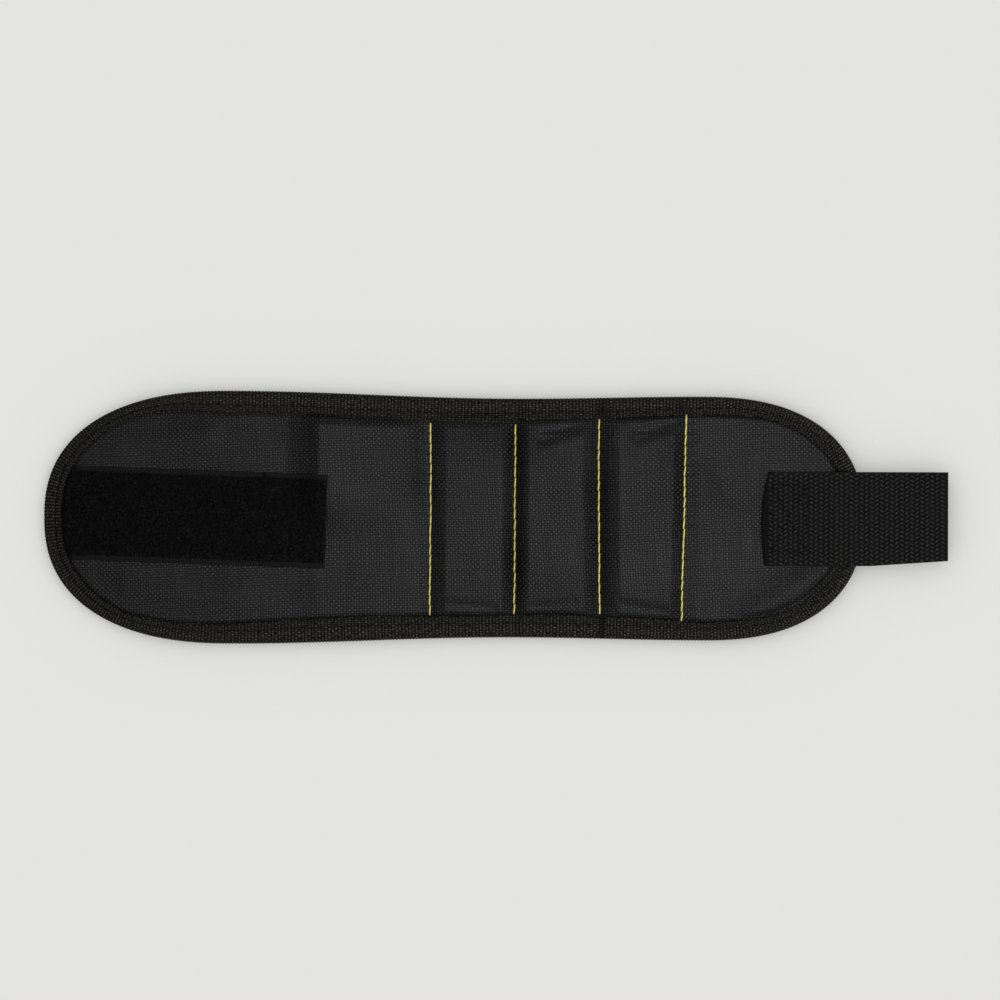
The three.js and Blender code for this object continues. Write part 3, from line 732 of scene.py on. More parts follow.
def yarn(name, shade, twist, roughness, specular, sheen=0.0):
    """Spun yarn or thread: plies that run aslant round it, painted as thin streaks of highlight and shade."""
    material, tree = start_material(name)
    place = add_node(tree, "UVMap", uv_map="cloth")
    # Real plies are finer than they can show, so the twist that each yarn gives is drawn coarser
    turned = add_node(tree, "Mapping", {"Vector": place, "Rotation": (0, 0, math.radians(35))})
    twisted = {"Vector": turned, "Scale": WAVE_REPEAT / (twist * MM), "Distortion": 0.6}
    plies = add_node(tree, "TexWave", twisted, "Fac")
    # Painted highlight and shade along the plies
    tone = add_node(tree, "MapRange", {"Value": plies, "To Min": 0.72, "To Max": 1.1})
    worn = mottled(tree, place, millimetres=4, low=0.88, high=1.1)
    tone = add_node(tree, "Math", {0: tone, 1: worn}, operation="MULTIPLY")
    shader = add_node(tree, "BsdfPrincipled", {
        "Base Color": add_node(tree, "VectorMath", {0: shade[:3], 1: tone}, operation="MULTIPLY"),
        "Normal": add_node(tree, "Bump", {"Height": plies, "Distance": 0.05 * MM, "Strength": 0.5}),
        "Roughness": roughness, "Specular IOR Level": specular,
        "Sheen Weight": sheen, "Sheen Roughness": 0.4,
    })
    add_node(tree, "OutputMaterial", {"Surface": shader})
    return material


def loop_tape():
    """Brushed nylon loop tape: a felt of fine curls, deep black with a dry sheen."""
    material, tree = start_material("brushed_nylon_loops")
    place = add_node(tree, "UVMap", uv_map="cloth")
    tufts = mottled(tree, place, millimetres=0.7, low=0.0, high=2.7)
    shader = add_node(tree, "BsdfPrincipled", {
        "Base Color": add_node(tree, "VectorMath", {0: colour("pile")[:3], 1: tufts}, operation="MULTIPLY"),
        "Roughness": 0.8, "Specular IOR Level": 0.02,
        "Sheen Weight": 0.01, "Sheen Roughness": 0.45, "Sheen Tint": linear("#cfd0d8"),
    })
    add_node(tree, "OutputMaterial", {"Surface": shader})
    return material


def nickel_plate():
    """Nickel plate on a sintered disc: bright metal with fine turned marks and small dull spots."""
    material, tree = start_material("nickel_plated_neodymium")
    place = add_node(tree, "TexCoord", give="Object")
    grain = add_node(tree, "TexNoise", {"Vector": place, "Scale": 1 / (0.8 * MM), "Detail": 4.0}, "Fac")
    tone = add_node(tree, "MapRange", {"Value": grain, "To Min": 0.85, "To Max": 1.05})
    shader = add_node(tree, "BsdfPrincipled", {
        "Base Color": add_node(tree, "VectorMath", {0: colour("magnet")[:3], 1: tone}, operation="MULTIPLY"),
        "Roughness": add_node(tree, "MapRange", {"Value": grain, "To Min": 0.18, "To Max": 0.38}),
        "Metallic": 1.0,
    })
    add_node(tree, "OutputMaterial", {"Surface": shader})
    return material


def moulded_carrier():
    """Moulded polypropylene: satin dark grey with a fine spark-eroded grain."""
    material, tree = start_material("moulded_polypropylene")
    place = add_node(tree, "TexCoord", give="Object")
    grain = add_node(tree, "TexNoise", {"Vector": place, "Scale": 1 / (0.6 * MM), "Detail": 2.0}, "Fac")
    tone = add_node(tree, "MapRange", {"Value": grain, "To Min": 0.88, "To Max": 1.1})
    shader = add_node(tree, "BsdfPrincipled", {
        "Base Color": add_node(tree, "VectorMath", {0: colour("carrier")[:3], 1: tone}, operation="MULTIPLY"),
        "Normal": add_node(tree, "Bump", {"Height": grain, "Distance": 0.04 * MM, "Strength": 0.5}),
        "Roughness": 0.45, "IOR": 1.49,
    })
    add_node(tree, "OutputMaterial", {"Surface": shader})
    return material


def dark_thread_and_painted_shade():
    """Black polyester sewing thread, made once for every piece that it sews; its colour is also the painted
    shade of the strap's core and turned end.
    """
    name = "polyester_thread_black"
    made = bpy.data.materials.get(name)
    return made or yarn(name, colour("dark_thread_and_painted_shade"), twist=0.25, roughness=0.5, specular=0.04)


# Operators, one for each piece or group of like pieces

class WRISTBAND_OT_front_panel(bpy.types.Operator):
    """Lay the front cloth with its sewn pockets"""

    bl_idname = "wristband.front_panel"
    bl_label = "Front panel"

    def execute(self, context):
        cloth = oxford_cloth()
        hem, step = 1.1, 0.6
        # Closer together towards the edges
        even = np.linspace(-1, 1, 141)
        shares = 0.4 * even + 0.6 * np.sin(even * math.pi / 2)
        for number, fold in enumerate(fold_spans()):
            along, x, y = layer_grid(fold, hem, step, shares)
            top = panel_top(x, y)
            shape = Shape()
            add_slab(shape, x, y, top, top - size("cloth_thickness"))
            nodes = stood_for("front_panel", fold)
            piece = shape.piece(f"front_cloth_{number + 1}", [cloth], fold, nodes, "oxford_cloth")
        return {"FINISHED"}


class WRISTBAND_OT_lining(bpy.types.Operator):
    """Lay the padded mesh lining on the back"""

    bl_idname = "wristband.lining"
    bl_label = "Mesh lining"

    def execute(self, context):
        mesh = spacer_mesh()
        hem, gap, thinnest = 1.2, 0.1, 0.3
        shares = np.linspace(-1, 1, 97)
        for number, fold in enumerate(fold_spans()):
            _, x, y = layer_grid(fold, hem, size("mesh_pitch") / 4, shares)
            bottom = mesh_bottom(x, y)
            top = np.minimum(panel_top(x, y) - size("cloth_thickness") - gap, LINING_TOP)
            shape = Shape()
            add_slab(shape, x, y, np.maximum(top, bottom + thinnest), bottom)
            nodes = stood_for("lining", fold)
            piece = shape.piece(f"mesh_lining_{number + 1}", [mesh], fold, nodes, "mesh_lining")
        return {"FINISHED"}


class WRISTBAND_OT_binding(bpy.types.Operator):
    """Fold the binding tape round the edge and sew it down"""

    bl_idname = "wristband.binding"
    bl_label = "Edge binding"

    rib_height = 0.09

    def execute(self, context):
        tape, thread = grosgrain_tape(), dark_thread_and_painted_shade()
        step = size("binding_pitch") / 4
        places, inward, at = edge_path(step)
        narrow = tape_width(places[:, 0], places[:, 1]) / size("binding_width")
        creases = sum(
            deep * np.clip(1 - np.abs(places[:, 0] - spot) / wide, 0, 1) * (edge * places[:, 1] > 0)
            for edge, spot, wide, deep, _ in TAPE_CREASES
        )
        creases -= 0.5 * crease_rise(places[:, 0]) * np.exp(-np.maximum(0, places[:, 0] - CREASE_X) / 10)
        rings, lengths = self.rings(places, inward, at, narrow, creases, step)
        half = len(places) // 2
        for number, fold in enumerate(fold_spans()):
            low, high = fold[3]
            shape = Shape()
            covered = (places[:, 0] >= low - step) & (places[:, 0] <= high)
            upper = np.flatnonzero(covered[:half + 1])
            lower = half + np.flatnonzero(covered[half:])
            runs = [upper, lower]
            if number == 0:
                runs = [np.concatenate([lower[:-1], upper])]
            elif number == len(FOLDS) - 1:
                runs = [np.concatenate([upper, lower[1:]])]
            for run in runs:
                self.add_tape(shape, rings[run], at, run, lengths)
                self.add_stitches(shape, places[run], inward[run], creases[run], narrow[run])
            nodes = [n for n in frame["nodes"] if n.startswith("binding_") and n.endswith(fold[:2])]
            shape.piece(f"binding_{number + 1}", [tape, thread], fold, nodes, "binding_tape")
        return {"FINISHED"}

    def profile(self, step):
        """The tape's section from its upper lip over the edge to its lower lip: way in, height and walk."""
        width, groove = size("binding_width"), size("groove_inset")
        round_reach, round_rise = 2.4, 2.0
        flat = np.arange(width, round_reach, -step)
        # The tape lies fuller near the edge, is drawn down at its line of stitches and slopes to its lip
        rise = SEWN_RISE + 0.27 * ease((groove - flat) / 1.8) - 0.12 * bump(flat, groove, 0.5)
        rise -= 0.42 * np.clip((flat - groove) / (width - groove), 0, 1)
        rise[0] -= 0.16
        turn = np.linspace(0, math.pi / 2, 8)[1:]
        round_in = round_reach - round_reach * np.sin(turn)
        round_up = round_rise * np.cos(turn) ** 0.9
        half = np.stack([np.concatenate([flat, round_in]), np.concatenate([rise, round_up])], 1)
        whole = np.concatenate([half, half[-2::-1] * (1, -1)])
        walked = np.concatenate([[0], np.cumsum(np.linalg.norm(np.diff(whole, axis=0), axis=1))])
        return whole[:, 0], whole[:, 1] + EDGE_MIDDLE, walked

    def rings(self, places, inward, at, narrow, creases, step):
        """Rings of points round the tape's section at each place, and the length walked round a ring."""
        width, groove, pick = size("binding_width"), size("groove_inset"), size("binding_pick")
        way_in, height, walked = self.profile(pick / 2)
        across = np.stack([np.gradient(height, walked), -np.gradient(way_in, walked)], 1)
        knots = 0.7 + 0.3 * np.abs(np.sin(math.pi * walked / pick))
        ribs = -np.cos(math.pi * at / (2 * step))[:, None] * knots
        # The pockets lift the lip between the sewn lines
        from_seam = np.min([np.abs(places[:, 0] - seam) for seam in SEAM_X], axis=0)
        lifted = ease(from_seam / 5) * (places[:, 0] > SEAM_X[0]) * (places[:, 0] < SEAM_X[-1])
        lifted = lifted * (0.5 + FULL_LIP * ease(places[:, 1] / UPPER_RUN) * (places[:, 0] < SEAM_X[1]))
        lip = ease((way_in - groove) / (width - groove))
        crease = (creases[:, None] * ease(way_in / 2.5) - lifted[:, None] * lip) * (height > EDGE_MIDDLE)
        relief = self.rib_height * ribs * ease((width - way_in) / 0.8) - crease
        inset = (way_in + relief * across[:, 0]) * narrow[:, None]
        # Round the loop end the tape's upper face slopes down to the edge
        slope = 0.7 * ease((LOOP_LOBE_X - 22 - places[:, 0]) / 25)[:, None] * np.clip(1 - way_in / 6.5, 0, 1)
        upright = height + relief * across[:, 1] - np.maximum(height - EDGE_MIDDLE, 0) * slope
        xy = places[:, None, :] + inward[:, None, :] * inset[..., None]
        outer = np.concatenate([xy, upright[..., None]], 2)
        # The inner face, from the lower lip back to the upper lip
        inner_in = np.array([width - 0.1, 4.0, 1.0, 1.0, 4.0, width - 0.1])
        inner_up = EDGE_MIDDLE + np.array([-1.0, -1.0, -0.8, 0.8, 1.0, 1.0])
        inner_walked = np.array([0.5, 4, 7, 8.6, 11.6, 14.6])
        inner_xy = places[:, None, :] + inward[:, None, :] * (inner_in * narrow[:, None])[..., None]
        inner_z = inner_up - np.maximum(creases, 0)[:, None] * (inner_up > EDGE_MIDDLE)
        inner = np.concatenate([inner_xy, inner_z[..., None]], 2)
        return np.concatenate([outer, inner], 1), np.concatenate([walked, walked[-1] + inner_walked])

    def add_tape(self, shape, rings, at, run, lengths):
        """Adds one run of tape as a closed sweep."""
        count, sides, _ = rings.shape
        index = np.arange(count * sides).reshape(count, sides)
        after = np.roll(index, -1, axis=1)
        faces = np.stack([index[:-1], index[1:], after[1:], after[:-1]], -1).reshape(-1, 4)
        spot = np.unwrap(at[run], period=at[-1])
        cloth = np.stack(np.broadcast_arrays(spot[:, None], lengths), -1)
        shape.add(rings, cloth, [faces, index[:1], index[-1:, ::-1]])

    def add_stitches(self, shape, places, inward, creases, narrow):
        """Adds the stitches of one run, above and below."""
        thread_wide, thread_tall, share = 0.12, 0.1, 0.42
        step = np.linalg.norm(places[1] - places[0])
        pitch = size("binding_stitch")
        count = int((len(places) - 2) * step / pitch)
        centres = (np.arange(count) + 0.5) * (len(places) - 1) / count
        reach = np.linspace(-share, share, 6) * pitch / step
        at = np.clip(centres[:, None] + reach, 0, len(places) - 1)
        spots = np.arange(len(places))
        inset = size("groove_inset") * narrow
        line = places + inward * inset[:, None]
        xy = np.stack([np.interp(at, spots, line[:, axis]) for axis in (0, 1)], -1)
        side = np.stack([np.interp(centres, spots, inward[:, axis]) for axis in (0, 1)], -1)
        side /= np.linalg.norm(side, axis=1, keepdims=True)
        side = np.concatenate([side, np.zeros((count, 1))], 1)
        arch = np.array([-0.3, 0.02, 0.12, 0.12, 0.02, -0.3])
        for sign in (1, -1):
            z = EDGE_MIDDLE + sign * (SEWN_RISE + arch) - np.interp(at, spots, creases) * (sign > 0)
            paths = np.concatenate([xy, z[..., None]], 2)
            add_tubes(shape, paths, side[:, None, :], thread_wide, thread_tall, sides=5, finish=1)


class WRISTBAND_OT_loop_patch(bpy.types.Operator):
    """Lay the loop patch with its selvedges and pile"""

    bl_idname = "wristband.loop_patch"
    bl_label = "Loop patch"

    tilt = math.radians(-1.9)
    half = 15.0
    # Height of the plain tape and of the felt under the curls, and how uneven the felt is
    tape_height, felt_height, felt_spread = 0.42, 0.62, 0.09
    # Curls on each square millimetre, and half the thickness of their thread
    curl_density, curl_thread = 3.4, 0.07

    def to_band(self, along, across):
        """Place on the band of a place on the patch, which lies a little askew."""
        c, s = math.cos(self.tilt), math.sin(self.tilt)
        return PATCH_X + along * c - across * s, along * s + across * c

    def execute(self, context):
        pile = loop_tape()
        plain = yarn("nylon_selvedge", colour("selvedge"), twist=0.3, roughness=0.5, specular=0.05)
        rng = np.random.default_rng(11)
        half = self.half
        across = np.linspace(-half, half, 41)
        right = (PATCH_HIGH[0] - PATCH_LOW[0]) / 2
        # The patch's left end lies under the binding's lip
        tuck = tape_width(LOOP_END_X, 0.0) - 0.5
        probe = np.linspace(-right - 12, 0, 600)
        left = []
        for row in across:
            x, y = self.to_band(probe, row)
            inside = inset_of(np.maximum(x, LOOP_END_X + 0.01), y) > tuck
            left.append(probe[np.argmax(inside)])
        left = np.array(left)
        spans = fold_spans()[:2]
        cut = np.full(len(across), spans[0][3][1] - PATCH_X)
        for number, (fold, node, start, end) in enumerate((
            (spans[0], "loop_patch_tip", left, cut),
            (spans[1], "loop_patch_panel", cut, np.full(len(across), right)),
        )):
            share = np.linspace(0, 1, max(2, round((end - start).max() / 0.8)))[:, None]
            along = start + share * (end - start)
            x, y = self.to_band(along, across)
            base = panel_top(x, y)
            edge = half - np.abs(across)
            if number:
                edge = np.minimum(edge, right - along)
            felt = self.felt_height + rng.normal(0, self.felt_spread, x.shape)
            lift = np.where(edge < size("selvedge"), self.tape_height, felt)
            lift = lift * ease((inset_of(x, y) - tuck) / 2.2 + 0.35)
            shape = Shape()
            add_slab(shape, x, y, base + lift, base + 0.02)
            self.add_pile(shape, rng, start.min(), end.max(), None if number else left, across)
            self.add_selvedges(shape, start, end)
            shape.piece(f"loop_pile_{number + 1}", [pile, plain], fold, [node], "loop_pile")
        return {"FINISHED"}

    def add_pile(self, shape, rng, start, end, left, across):
        """Adds the curls of the pile, each a small arch that leans its own way."""
        width = 2 * (self.half - size("selvedge"))
        count = int(self.curl_density * (end - start) * width)
        u = rng.uniform(start, end, count)
        v = rng.uniform(-width / 2, width / 2, count)
        lean = rng.uniform(0, 2 * math.pi, count)
        reach = rng.uniform(0.35, 0.75, count)
        rise = size("pile_height") * rng.uniform(0.5, 1.1, count)
        if left is not None:
            keep = u > np.interp(v, across, left) + 0.6
        else:
            keep = u < end - 0.5
        u, v, lean, reach, rise = (a[keep] for a in (u, v, lean, reach, rise))
        x, y = self.to_band(u, v)
        base = panel_top(x, y) + 0.5
        turn = np.linspace(0, math.pi, 6)
        out = np.cos(turn) * reach[:, None]
        up = np.sin(turn) * rise[:, None]
        sway = up * 0.5 * np.sin(lean * 3)[:, None]
        c, s = np.cos(lean)[:, None], np.sin(lean)[:, None]
        paths = np.stack([
            x[:, None] + out * c - sway * s, y[:, None] + out * s + sway * c, base[:, None] + up,
        ], -1)
        side = np.stack([-s, c, 0 * c], -1)
        add_tubes(shape, paths, side, self.curl_thread, self.curl_thread, sides=3)

    def add_selvedges(self, shape, start, end):
        """Adds the fine cross threads of both plain edges."""
        spacing, wide, tall = 0.5, 0.15, 0.12
        for sign, first, last in ((1, start[-1], end[-1]), (-1, start[0], end[0])):
            u = np.arange(first + 1.5, last - 0.3, spacing)
            v = sign * np.linspace(self.half - size("selvedge"), self.half - 0.1, 4)
            x, y = self.to_band(u[:, None], v[None, :])
            z = panel_top(x, y) + np.array([0.42, 0.46, 0.46, 0.3])
            side = np.array([math.cos(self.tilt), math.sin(self.tilt), 0])
            add_tubes(shape, np.stack([x, y, z], -1), side, wide, tall, sides=5, finish=1)


class WRISTBAND_OT_strap(bpy.types.Operator):
    """Weave the strap and sew it on"""

    bl_idname = "wristband.strap"
    bl_label = "Webbing strap"

    # Each float of the weave: its slant, its reach as a share of a column, and half its width and height
    slant, reach, float_wide, float_tall = math.radians(31), 0.58, 0.46, 0.4
    # How far the yarns stand above the strap's core
    yarn_cover = 0.72

    def execute(self, context):
        rng = np.random.default_rng(23)
        webbing = yarn(
            "woven_polypropylene_webbing", colour("webbing"), twist=0.35, roughness=0.3, specular=0.13,
        )
        shape = Shape()
        half = (STRAP_HIGH[1] - STRAP_LOW[1]) / 2
        thick = TAB_HIGH[2] - TAB_LOW[2]
        across = np.linspace(-half, half, 31)
        start, end = strap_start(across) + 0.5, np.full(len(across), TAB_HIGH[0])
        x = start + np.linspace(0, 1, 61)[:, None] * (end - start)
        edge = np.minimum(half - np.abs(across), np.minimum(x - start, end - x))
        round_off = 0.35 * (1 - ease(edge / 1.0)) / 3
        top = strap_top(x) - self.yarn_cover - round_off
        bottom = strap_top(x) - thick + self.yarn_cover + round_off
        # The core takes the black thread's colour: painted shade between the yarns
        add_slab(shape, x, tapered(x, across), top, bottom, finish=1)
        self.add_yarns(shape, rng, half, thick)
        self.add_turned_end(shape, half)
        self.add_box_stitch(shape)
        materials = [webbing, dark_thread_and_painted_shade()]
        shape.piece("strap_webbing", materials, TAB_FOLD, ["strap_anchor", "strap_tab"], "webbing")
        return {"FINISHED"}

    def add_yarns(self, shape, rng, half, thick):
        """Adds the floats of the weave on both faces, each column half a row from the next."""
        column, row = size("yarn_column"), size("yarn_row")
        first = STRAP_LOW[0] + 2.6
        columns = int((TAB_HIGH[0] - 0.9 - first) / column) + 1
        rows = int(2 * (half - 0.3) / row)
        i, j = np.meshgrid(np.arange(columns), np.arange(rows), indexing="ij")
        x = first + i * column
        y = (j - (rows - 1) / 2 + np.where(i % 2, 0.25, -0.25)) * row
        slant = np.where(i % 2, 1, -1) * self.slant
        # The sewn end is pressed flat and pulled out of line by its stitches
        sewn = 1 - ease((x - STRAP_LOW[0] - 13) / 3)
        x = x + rng.normal(0, 0.04, x.shape) + sewn * rng.normal(0, 0.07, x.shape)
        y = y + rng.normal(0, 0.03, x.shape) + sewn * rng.normal(0, 0.08, x.shape)
        slant = slant + rng.normal(0, 0.05, x.shape) + sewn * rng.normal(0, 0.15, x.shape)
        x, y, slant = x.ravel(), y.ravel(), slant.ravel()
        share = np.linspace(-1, 1, 7)
        reach = share * self.reach * column
        swell = np.sqrt(1 - 0.8 * share ** 2)
        c, s = np.cos(slant)[:, None], np.sin(slant)[:, None]
        px = np.clip(x[:, None] + reach * c, STRAP_LOW[0] + 0.8, TAB_HIGH[0] - 0.15)
        py = tapered(px, np.clip(y[:, None] + reach * s, -half + 0.1, half - 0.1))
        side = np.stack([-s, c, 0 * c], -1)
        for sign in (1, -1):
            face = strap_top(px) if sign > 0 else strap_top(px) - thick
            z = face - sign * (0.4 + 0.55 * share ** 4)
            paths = np.stack([px, py, z], -1)
            add_tubes(shape, paths, side, self.float_wide * swell, self.float_tall * swell, sides=8)

    def add_turned_end(self, shape, half):
        """Adds the turned-under end, where the yarns lie side by side over the fold."""
        wide, tall = 0.37, 0.26
        y = np.arange(-half + 0.35, half - 0.3, size("yarn_row") / 2)[:, None]
        over = np.array([[3.0, -0.62], [2.2, -0.42], [1.3, -0.38], [0.7, -0.48], [0.35, -0.75], [0.3, -1.1]])
        x = strap_start(y) + over[:, 0]
        z = strap_top(x) + over[:, 1]
        side = np.array([0.0, 1.0, 0.0])
        # The turned end takes the black thread's colour: painted shade that keeps its smooth roll as dark as
        # the webbing
        add_tubes(shape, np.stack(np.broadcast_arrays(x, y, z), -1), side, wide, tall, sides=7, finish=1)

    def add_box_stitch(self, shape):
        """Adds the box of black stitches with a cross in it that holds the sewn end."""
        pitch, share, wide, tall = 2.4, 0.43, 0.2, 0.18
        x0, x1, y0, y1 = STRAP_LOW[0] + 2.7, STRAP_LOW[0] + 14.0, -10.6, 10.8
        corners = np.array([(x0, y0), (x1, y0), (x1, y1), (x0, y1)])
        for a, b in ((0, 1), (1, 2), (2, 3), (3, 0), (0, 2), (3, 1)):
            a, b = corners[a], corners[b]
            count = round(np.linalg.norm(b - a) / pitch)
            step = (b - a) / count
            centres = a + step * (np.arange(count)[:, None] + 0.5)
            spots = centres[:, None, :] + step * np.linspace(-share, share, 6)[:, None]
            z = strap_top(spots[..., 0]) + np.array([-0.5, -0.2, -0.1, -0.1, -0.2, -0.5])
            side = np.array([-step[1], step[0], 0]) / np.linalg.norm(step)
            add_tubes(shape, np.concatenate([spots, z[..., None]], 2), side, wide, tall, sides=5, finish=1)


class WRISTBAND_OT_hook_patch(bpy.types.Operator):
    """Lay the hook patch under the strap's tab"""

    bl_idname = "wristband.hook_patch"
    bl_label = "Hook patch"

    def execute(self, context):
        nylon = yarn("moulded_nylon_hooks", colour("hooks"), twist=0.3, roughness=0.45, specular=0.35)
        shape = Shape()
        x = np.linspace(HOOK_LOW[0], HOOK_HIGH[0], 25)[:, None]
        y = np.linspace(HOOK_LOW[1], HOOK_HIGH[1], 35)[None, :]
        x, y = np.broadcast_arrays(x, y)
        edge = np.minimum(np.minimum(x - HOOK_LOW[0], HOOK_HIGH[0] - x), HOOK_HIGH[1] - np.abs(y))
        tape = HOOK_HIGH[2] - 0.5
        weave = 0.04 * np.sin(x * 3.9) * np.sin(y * 3.9)
        bottom = tape + weave + 0.15 * (1 - ease(edge / 0.8))
        add_slab(shape, x, tapered(x, y), np.full(x.shape, HOOK_HIGH[2] + 0.2), bottom)
        pitch = size("hook_pitch")
        hx = np.arange(HOOK_LOW[0] + 1.2, HOOK_HIGH[0] - 1.0, pitch)
        hy = np.arange(HOOK_LOW[1] + 1.4, HOOK_HIGH[1] - 1.2, pitch)
        hx, hy = (a.ravel() for a in np.meshgrid(hx, hy, indexing="ij"))
        facing = np.where(np.round((hy - hy.min()) / pitch) % 2, 1.0, -1.0)
        # A stem that stands down from the tape and curls over at its end: place, height and half thickness
        stem = np.array([
            [0, 0.1, 0.2], [0, -0.35, 0.15], [0.04, -0.6, 0.14], [0.2, -0.8, 0.13], [0.42, -0.78, 0.12],
            [0.52, -0.6, 0.1], [0.5, -0.45, 0.06],
        ])
        paths = np.stack(np.broadcast_arrays(
            hx[:, None] + facing[:, None] * stem[:, 0], tapered(hx, hy)[:, None], tape + stem[:, 1],
        ), -1)
        add_tubes(shape, paths, np.array([0.0, 1.0, 0.0]), stem[:, 2], stem[:, 2], sides=6)
        shape.piece("hook_tape", [nylon], TAB_FOLD, ["hook_patch"], "hook_tape")
        return {"FINISHED"}


class WRISTBAND_OT_pocket_stitches(bpy.types.Operator):
    """Sew the lines of bright stitches across the band"""

    bl_idname = "wristband.pocket_stitches"
    bl_label = "Pocket stitches"

    def execute(self, context):
        thread = yarn(
            "polyester_thread_yellow", colour("bright_thread"),
            twist=0.5, roughness=0.45, specular=0.3, sheen=0.05,
        )
        rng = np.random.default_rng(5)
        swell = size("pocket_thread") / 2 * np.array([0.72, 0.92, 1, 1, 1, 1, 1, 0.92, 0.72])
        arch = 0.26 * np.cos(np.linspace(-1, 1, 9) * math.pi / 2) ** 0.5 - 0.2
        lines = zip(SEAM_X, SEAM_LEAN, STITCH_RUNS, fold_spans()[2:6])
        for number, (x0, lean, (y0, y1), fold) in enumerate(lines):
            count = round((y1 - y0) / size("pocket_stitch"))
            pitch = (y1 - y0) / count
            centre = y0 + (np.arange(count) + 0.5) * pitch
            reach = np.linspace(-0.5, 0.5, 9) * (pitch - 0.15)
            y = centre[:, None] + reach
            drift = np.cumsum(rng.normal(0, 0.07, count))
            drift -= np.linspace(drift[0], drift[-1], count)
            askew = rng.normal(0.06, 0.03, count)
            sewn = x0 + lean * y
            x = sewn + drift[:, None] + askew[:, None] * reach
            along = np.stack([np.gradient(x, axis=1), np.gradient(y, axis=1)], -1).mean(1)
            side = np.stack([along[:, 1], -along[:, 0], np.zeros(count)], -1)
            side = (side / np.linalg.norm(side, axis=1, keepdims=True))[:, None, :]
            shape = Shape()
            front = panel_top(sewn, y) + arch + 0.32
            back = mesh_bottom(sewn, y) + 0.02 - arch * 0.5
            for z, half in ((front, swell), (back, swell * 0.8)):
                add_tubes(shape, np.stack([x, y, z], -1), side, half, half, sides=8)
            name, node = f"pocket_stitches_{number + 1}", f"stitch_line_{number + 1}"
            shape.piece(name, [thread], fold, [node], "yellow_thread")
        return {"FINISHED"}


class WRISTBAND_OT_magnets(bpy.types.Operator):
    """Finish the magnets and their carriers inside the pockets"""

    bl_idname = "wristband.magnets"
    bl_label = "Magnets and carriers"

    def execute(self, context):
        finishes = {"magnet_carrier": (moulded_carrier(), "carrier"), "magnet_": (nickel_plate(), "magnet")}
        for name, node in frame["nodes"].items():
            for start, (material, slot) in finishes.items():
                if name.startswith(start):
                    node.data.materials.clear()
                    node.data.materials.append(material)
                    break
        return {"FINISHED"}


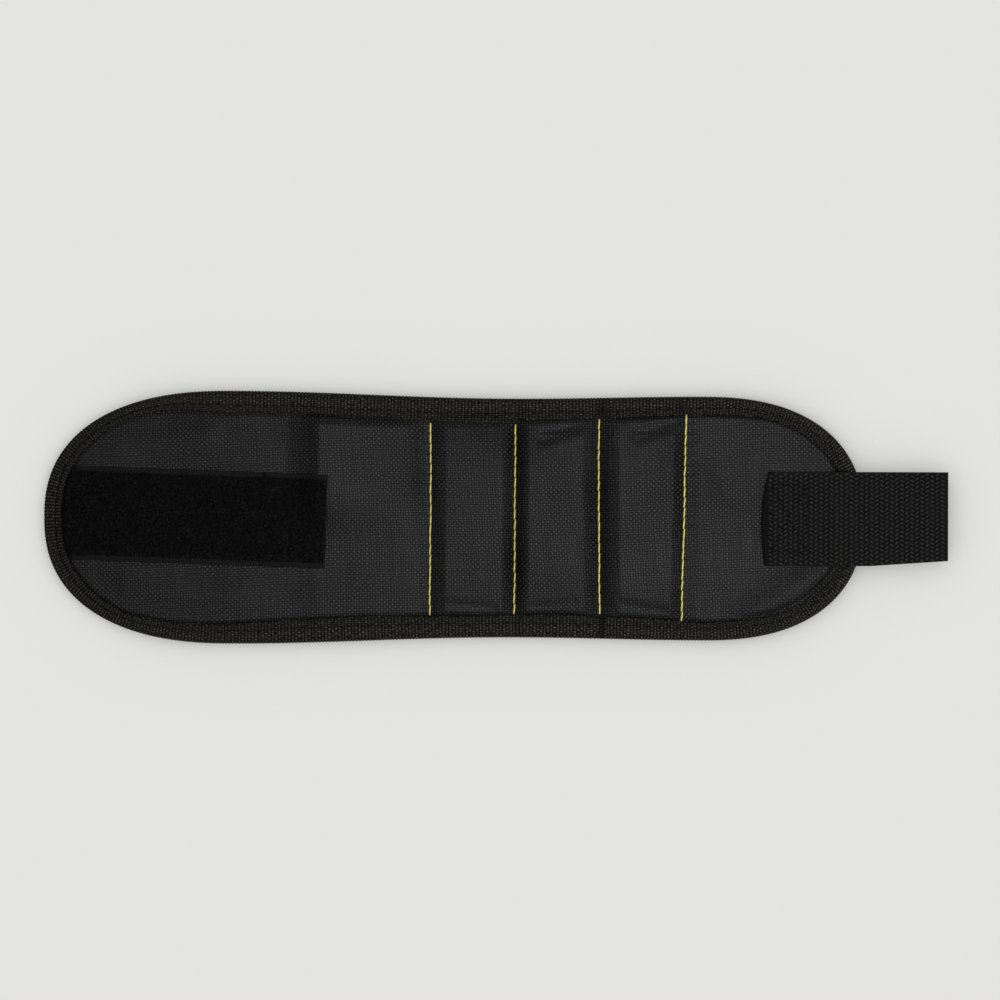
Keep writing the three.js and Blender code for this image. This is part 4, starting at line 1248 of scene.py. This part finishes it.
class WRISTBAND_OT_stage(bpy.types.Operator):
    """Set the floor, the light and the camera"""

    bl_idname = "wristband.stage"
    bl_label = "Stage"

    # Name, place in metres, side in metres and power in watts of each lamp
    lamps = (
        ("overhead", (0.06, -0.03, 0.46), 0.16, 1.3),
        ("side", (0.44, -0.14, 0.42), 0.25, 1.8),
        ("below", (-0.3, -0.3, -0.55), 0.4, 5.4),
    )
    # Strength of the surround as a light
    ambient = 0.18

    def execute(self, context):
        scene = context.scene
        scene.view_settings.view_transform = "Standard"
        self.add_camera(scene)
        self.add_lamps(scene)
        self.add_surround(scene)
        self.add_floor(scene)
        return {"FINISHED"}

    def add_camera(self, scene):
        """Adds a far camera straight above, framed as the photograph is."""
        distance, band_height, frame_width, sensor, roll = 3.0, 0.004, 0.319, 36.0, 0.003
        data = bpy.data.cameras.new("camera")
        data.sensor_width = sensor
        data.lens = sensor * (distance - band_height) / frame_width
        data.clip_end = 50
        camera = bpy.data.objects.new("camera", data)
        camera.location = (1.28 * MM, 5.74 * MM, distance)
        camera.rotation_euler.z = roll
        scene.collection.objects.link(camera)
        scene.camera = camera

    def add_lamps(self, scene):
        """Adds a soft box overhead, one lower on the strap's side and one below for the back."""
        for name, place, side, power in self.lamps:
            data = bpy.data.lights.new(name, "AREA")
            data.shape = "SQUARE"
            data.size = side
            data.energy = power
            lamp = bpy.data.objects.new(name, data)
            lamp.location = place
            x, y, z = place
            lamp.rotation_euler = (math.atan2(math.hypot(x, y), z), 0, math.atan2(y, x) + math.pi / 2)
            # Only the soft box overhead shows as a shine on the cloth
            lamp.visible_glossy = name == "overhead"
            scene.collection.objects.link(lamp)

    def add_surround(self, scene):
        """Adds a pale surround, which lights the band less than it shows."""
        world = bpy.data.worlds.new("surround")
        world.use_nodes = True
        scene.world = world
        tree = world.node_tree
        tree.nodes.clear()
        seen = add_node(tree, "LightPath", give="Is Camera Ray")
        rays = seen.node.outputs
        for other in ("Is Glossy Ray", "Is Transmission Ray"):
            seen = add_node(tree, "Math", {0: seen, 1: rays[other]}, operation="MAXIMUM")
        strength = add_node(tree, "MapRange", {"Value": seen, "To Min": self.ambient, "To Max": 1.0})
        surround = add_node(tree, "Background", {"Color": colour("backdrop"), "Strength": strength})
        add_node(tree, "OutputWorld", {"Surface": surround})

    def add_floor(self, scene):
        """Adds the floor, a clear sheet that takes only the band's shade, so that folded stretches show."""
        reach, drop = 1.2, 0.0002
        material, tree = start_material("clear_acrylic_table")
        shade = add_node(tree, "AmbientOcclusion", {"Distance": 25 * MM}, "AO", samples=16)
        tone = add_node(tree, "MapRange", {"Value": shade, "From Min": 0.3, "To Min": 0.45, "To Max": 1.0})
        # The shade lies on the sheet's upper face alone
        below = add_node(tree, "NewGeometry", give="Backfacing")
        tone = add_node(tree, "Math", {0: tone, 1: below}, operation="MAXIMUM")
        clear = add_node(tree, "BsdfTransparent", {"Color": tone})
        add_node(tree, "OutputMaterial", {"Surface": clear})
        mesh = bpy.data.meshes.new("floor")
        corners = [(-reach, -reach, 0), (reach, -reach, 0), (reach, reach, 0), (-reach, reach, 0)]
        mesh.from_pydata(corners, [], [(0, 1, 2, 3)])
        mesh.materials.append(material)
        floor = bpy.data.objects.new("floor", mesh)
        floor.location.z = -drop
        floor.visible_shadow = floor.visible_diffuse = floor.visible_glossy = False
        scene.collection.objects.link(floor)


PIECE_OPERATORS = (
    WRISTBAND_OT_front_panel,
    WRISTBAND_OT_lining,
    WRISTBAND_OT_binding,
    WRISTBAND_OT_loop_patch,
    WRISTBAND_OT_strap,
    WRISTBAND_OT_hook_patch,
    WRISTBAND_OT_pocket_stitches,
    WRISTBAND_OT_magnets,
    WRISTBAND_OT_stage,
)


class WRISTBAND_PT_build(bpy.types.Panel):
    """The wristband's sizes, colours and building steps"""

    bl_idname = "WRISTBAND_PT_build"
    bl_label = "Magnetic wristband"
    bl_space_type = "VIEW_3D"
    bl_region_type = "UI"
    bl_category = "Wristband"

    def draw(self, context):
        layout = self.layout
        for operator in PIECE_OPERATORS:
            layout.operator(operator.bl_idname)
        for group in (context.scene.wristband_sizes, context.scene.wristband_colours):
            for key in group.__annotations__:
                layout.prop(group, key)


CLASSES = (WristbandSizes, WristbandColours, *PIECE_OPERATORS, WRISTBAND_PT_build)


def register():
    """Registers the classes and hangs the sizes and colours on the scene."""
    for cls in CLASSES:
        bpy.utils.register_class(cls)
    bpy.types.Scene.wristband_sizes = bpy.props.PointerProperty(type=WristbandSizes)
    bpy.types.Scene.wristband_colours = bpy.props.PointerProperty(type=WristbandColours)


def unregister():
    """Takes the sizes, colours and classes away again."""
    del bpy.types.Scene.wristband_colours
    del bpy.types.Scene.wristband_sizes
    for cls in reversed(CLASSES):
        bpy.utils.unregister_class(cls)


def main():
    """Builds every piece in order."""
    register()
    bpy.ops.wristband.front_panel()
    bpy.ops.wristband.lining()
    bpy.ops.wristband.binding()
    bpy.ops.wristband.loop_patch()
    bpy.ops.wristband.strap()
    bpy.ops.wristband.hook_patch()
    bpy.ops.wristband.pocket_stitches()
    bpy.ops.wristband.magnets()
    bpy.ops.wristband.stage()


if __name__ == "__main__":
    main()
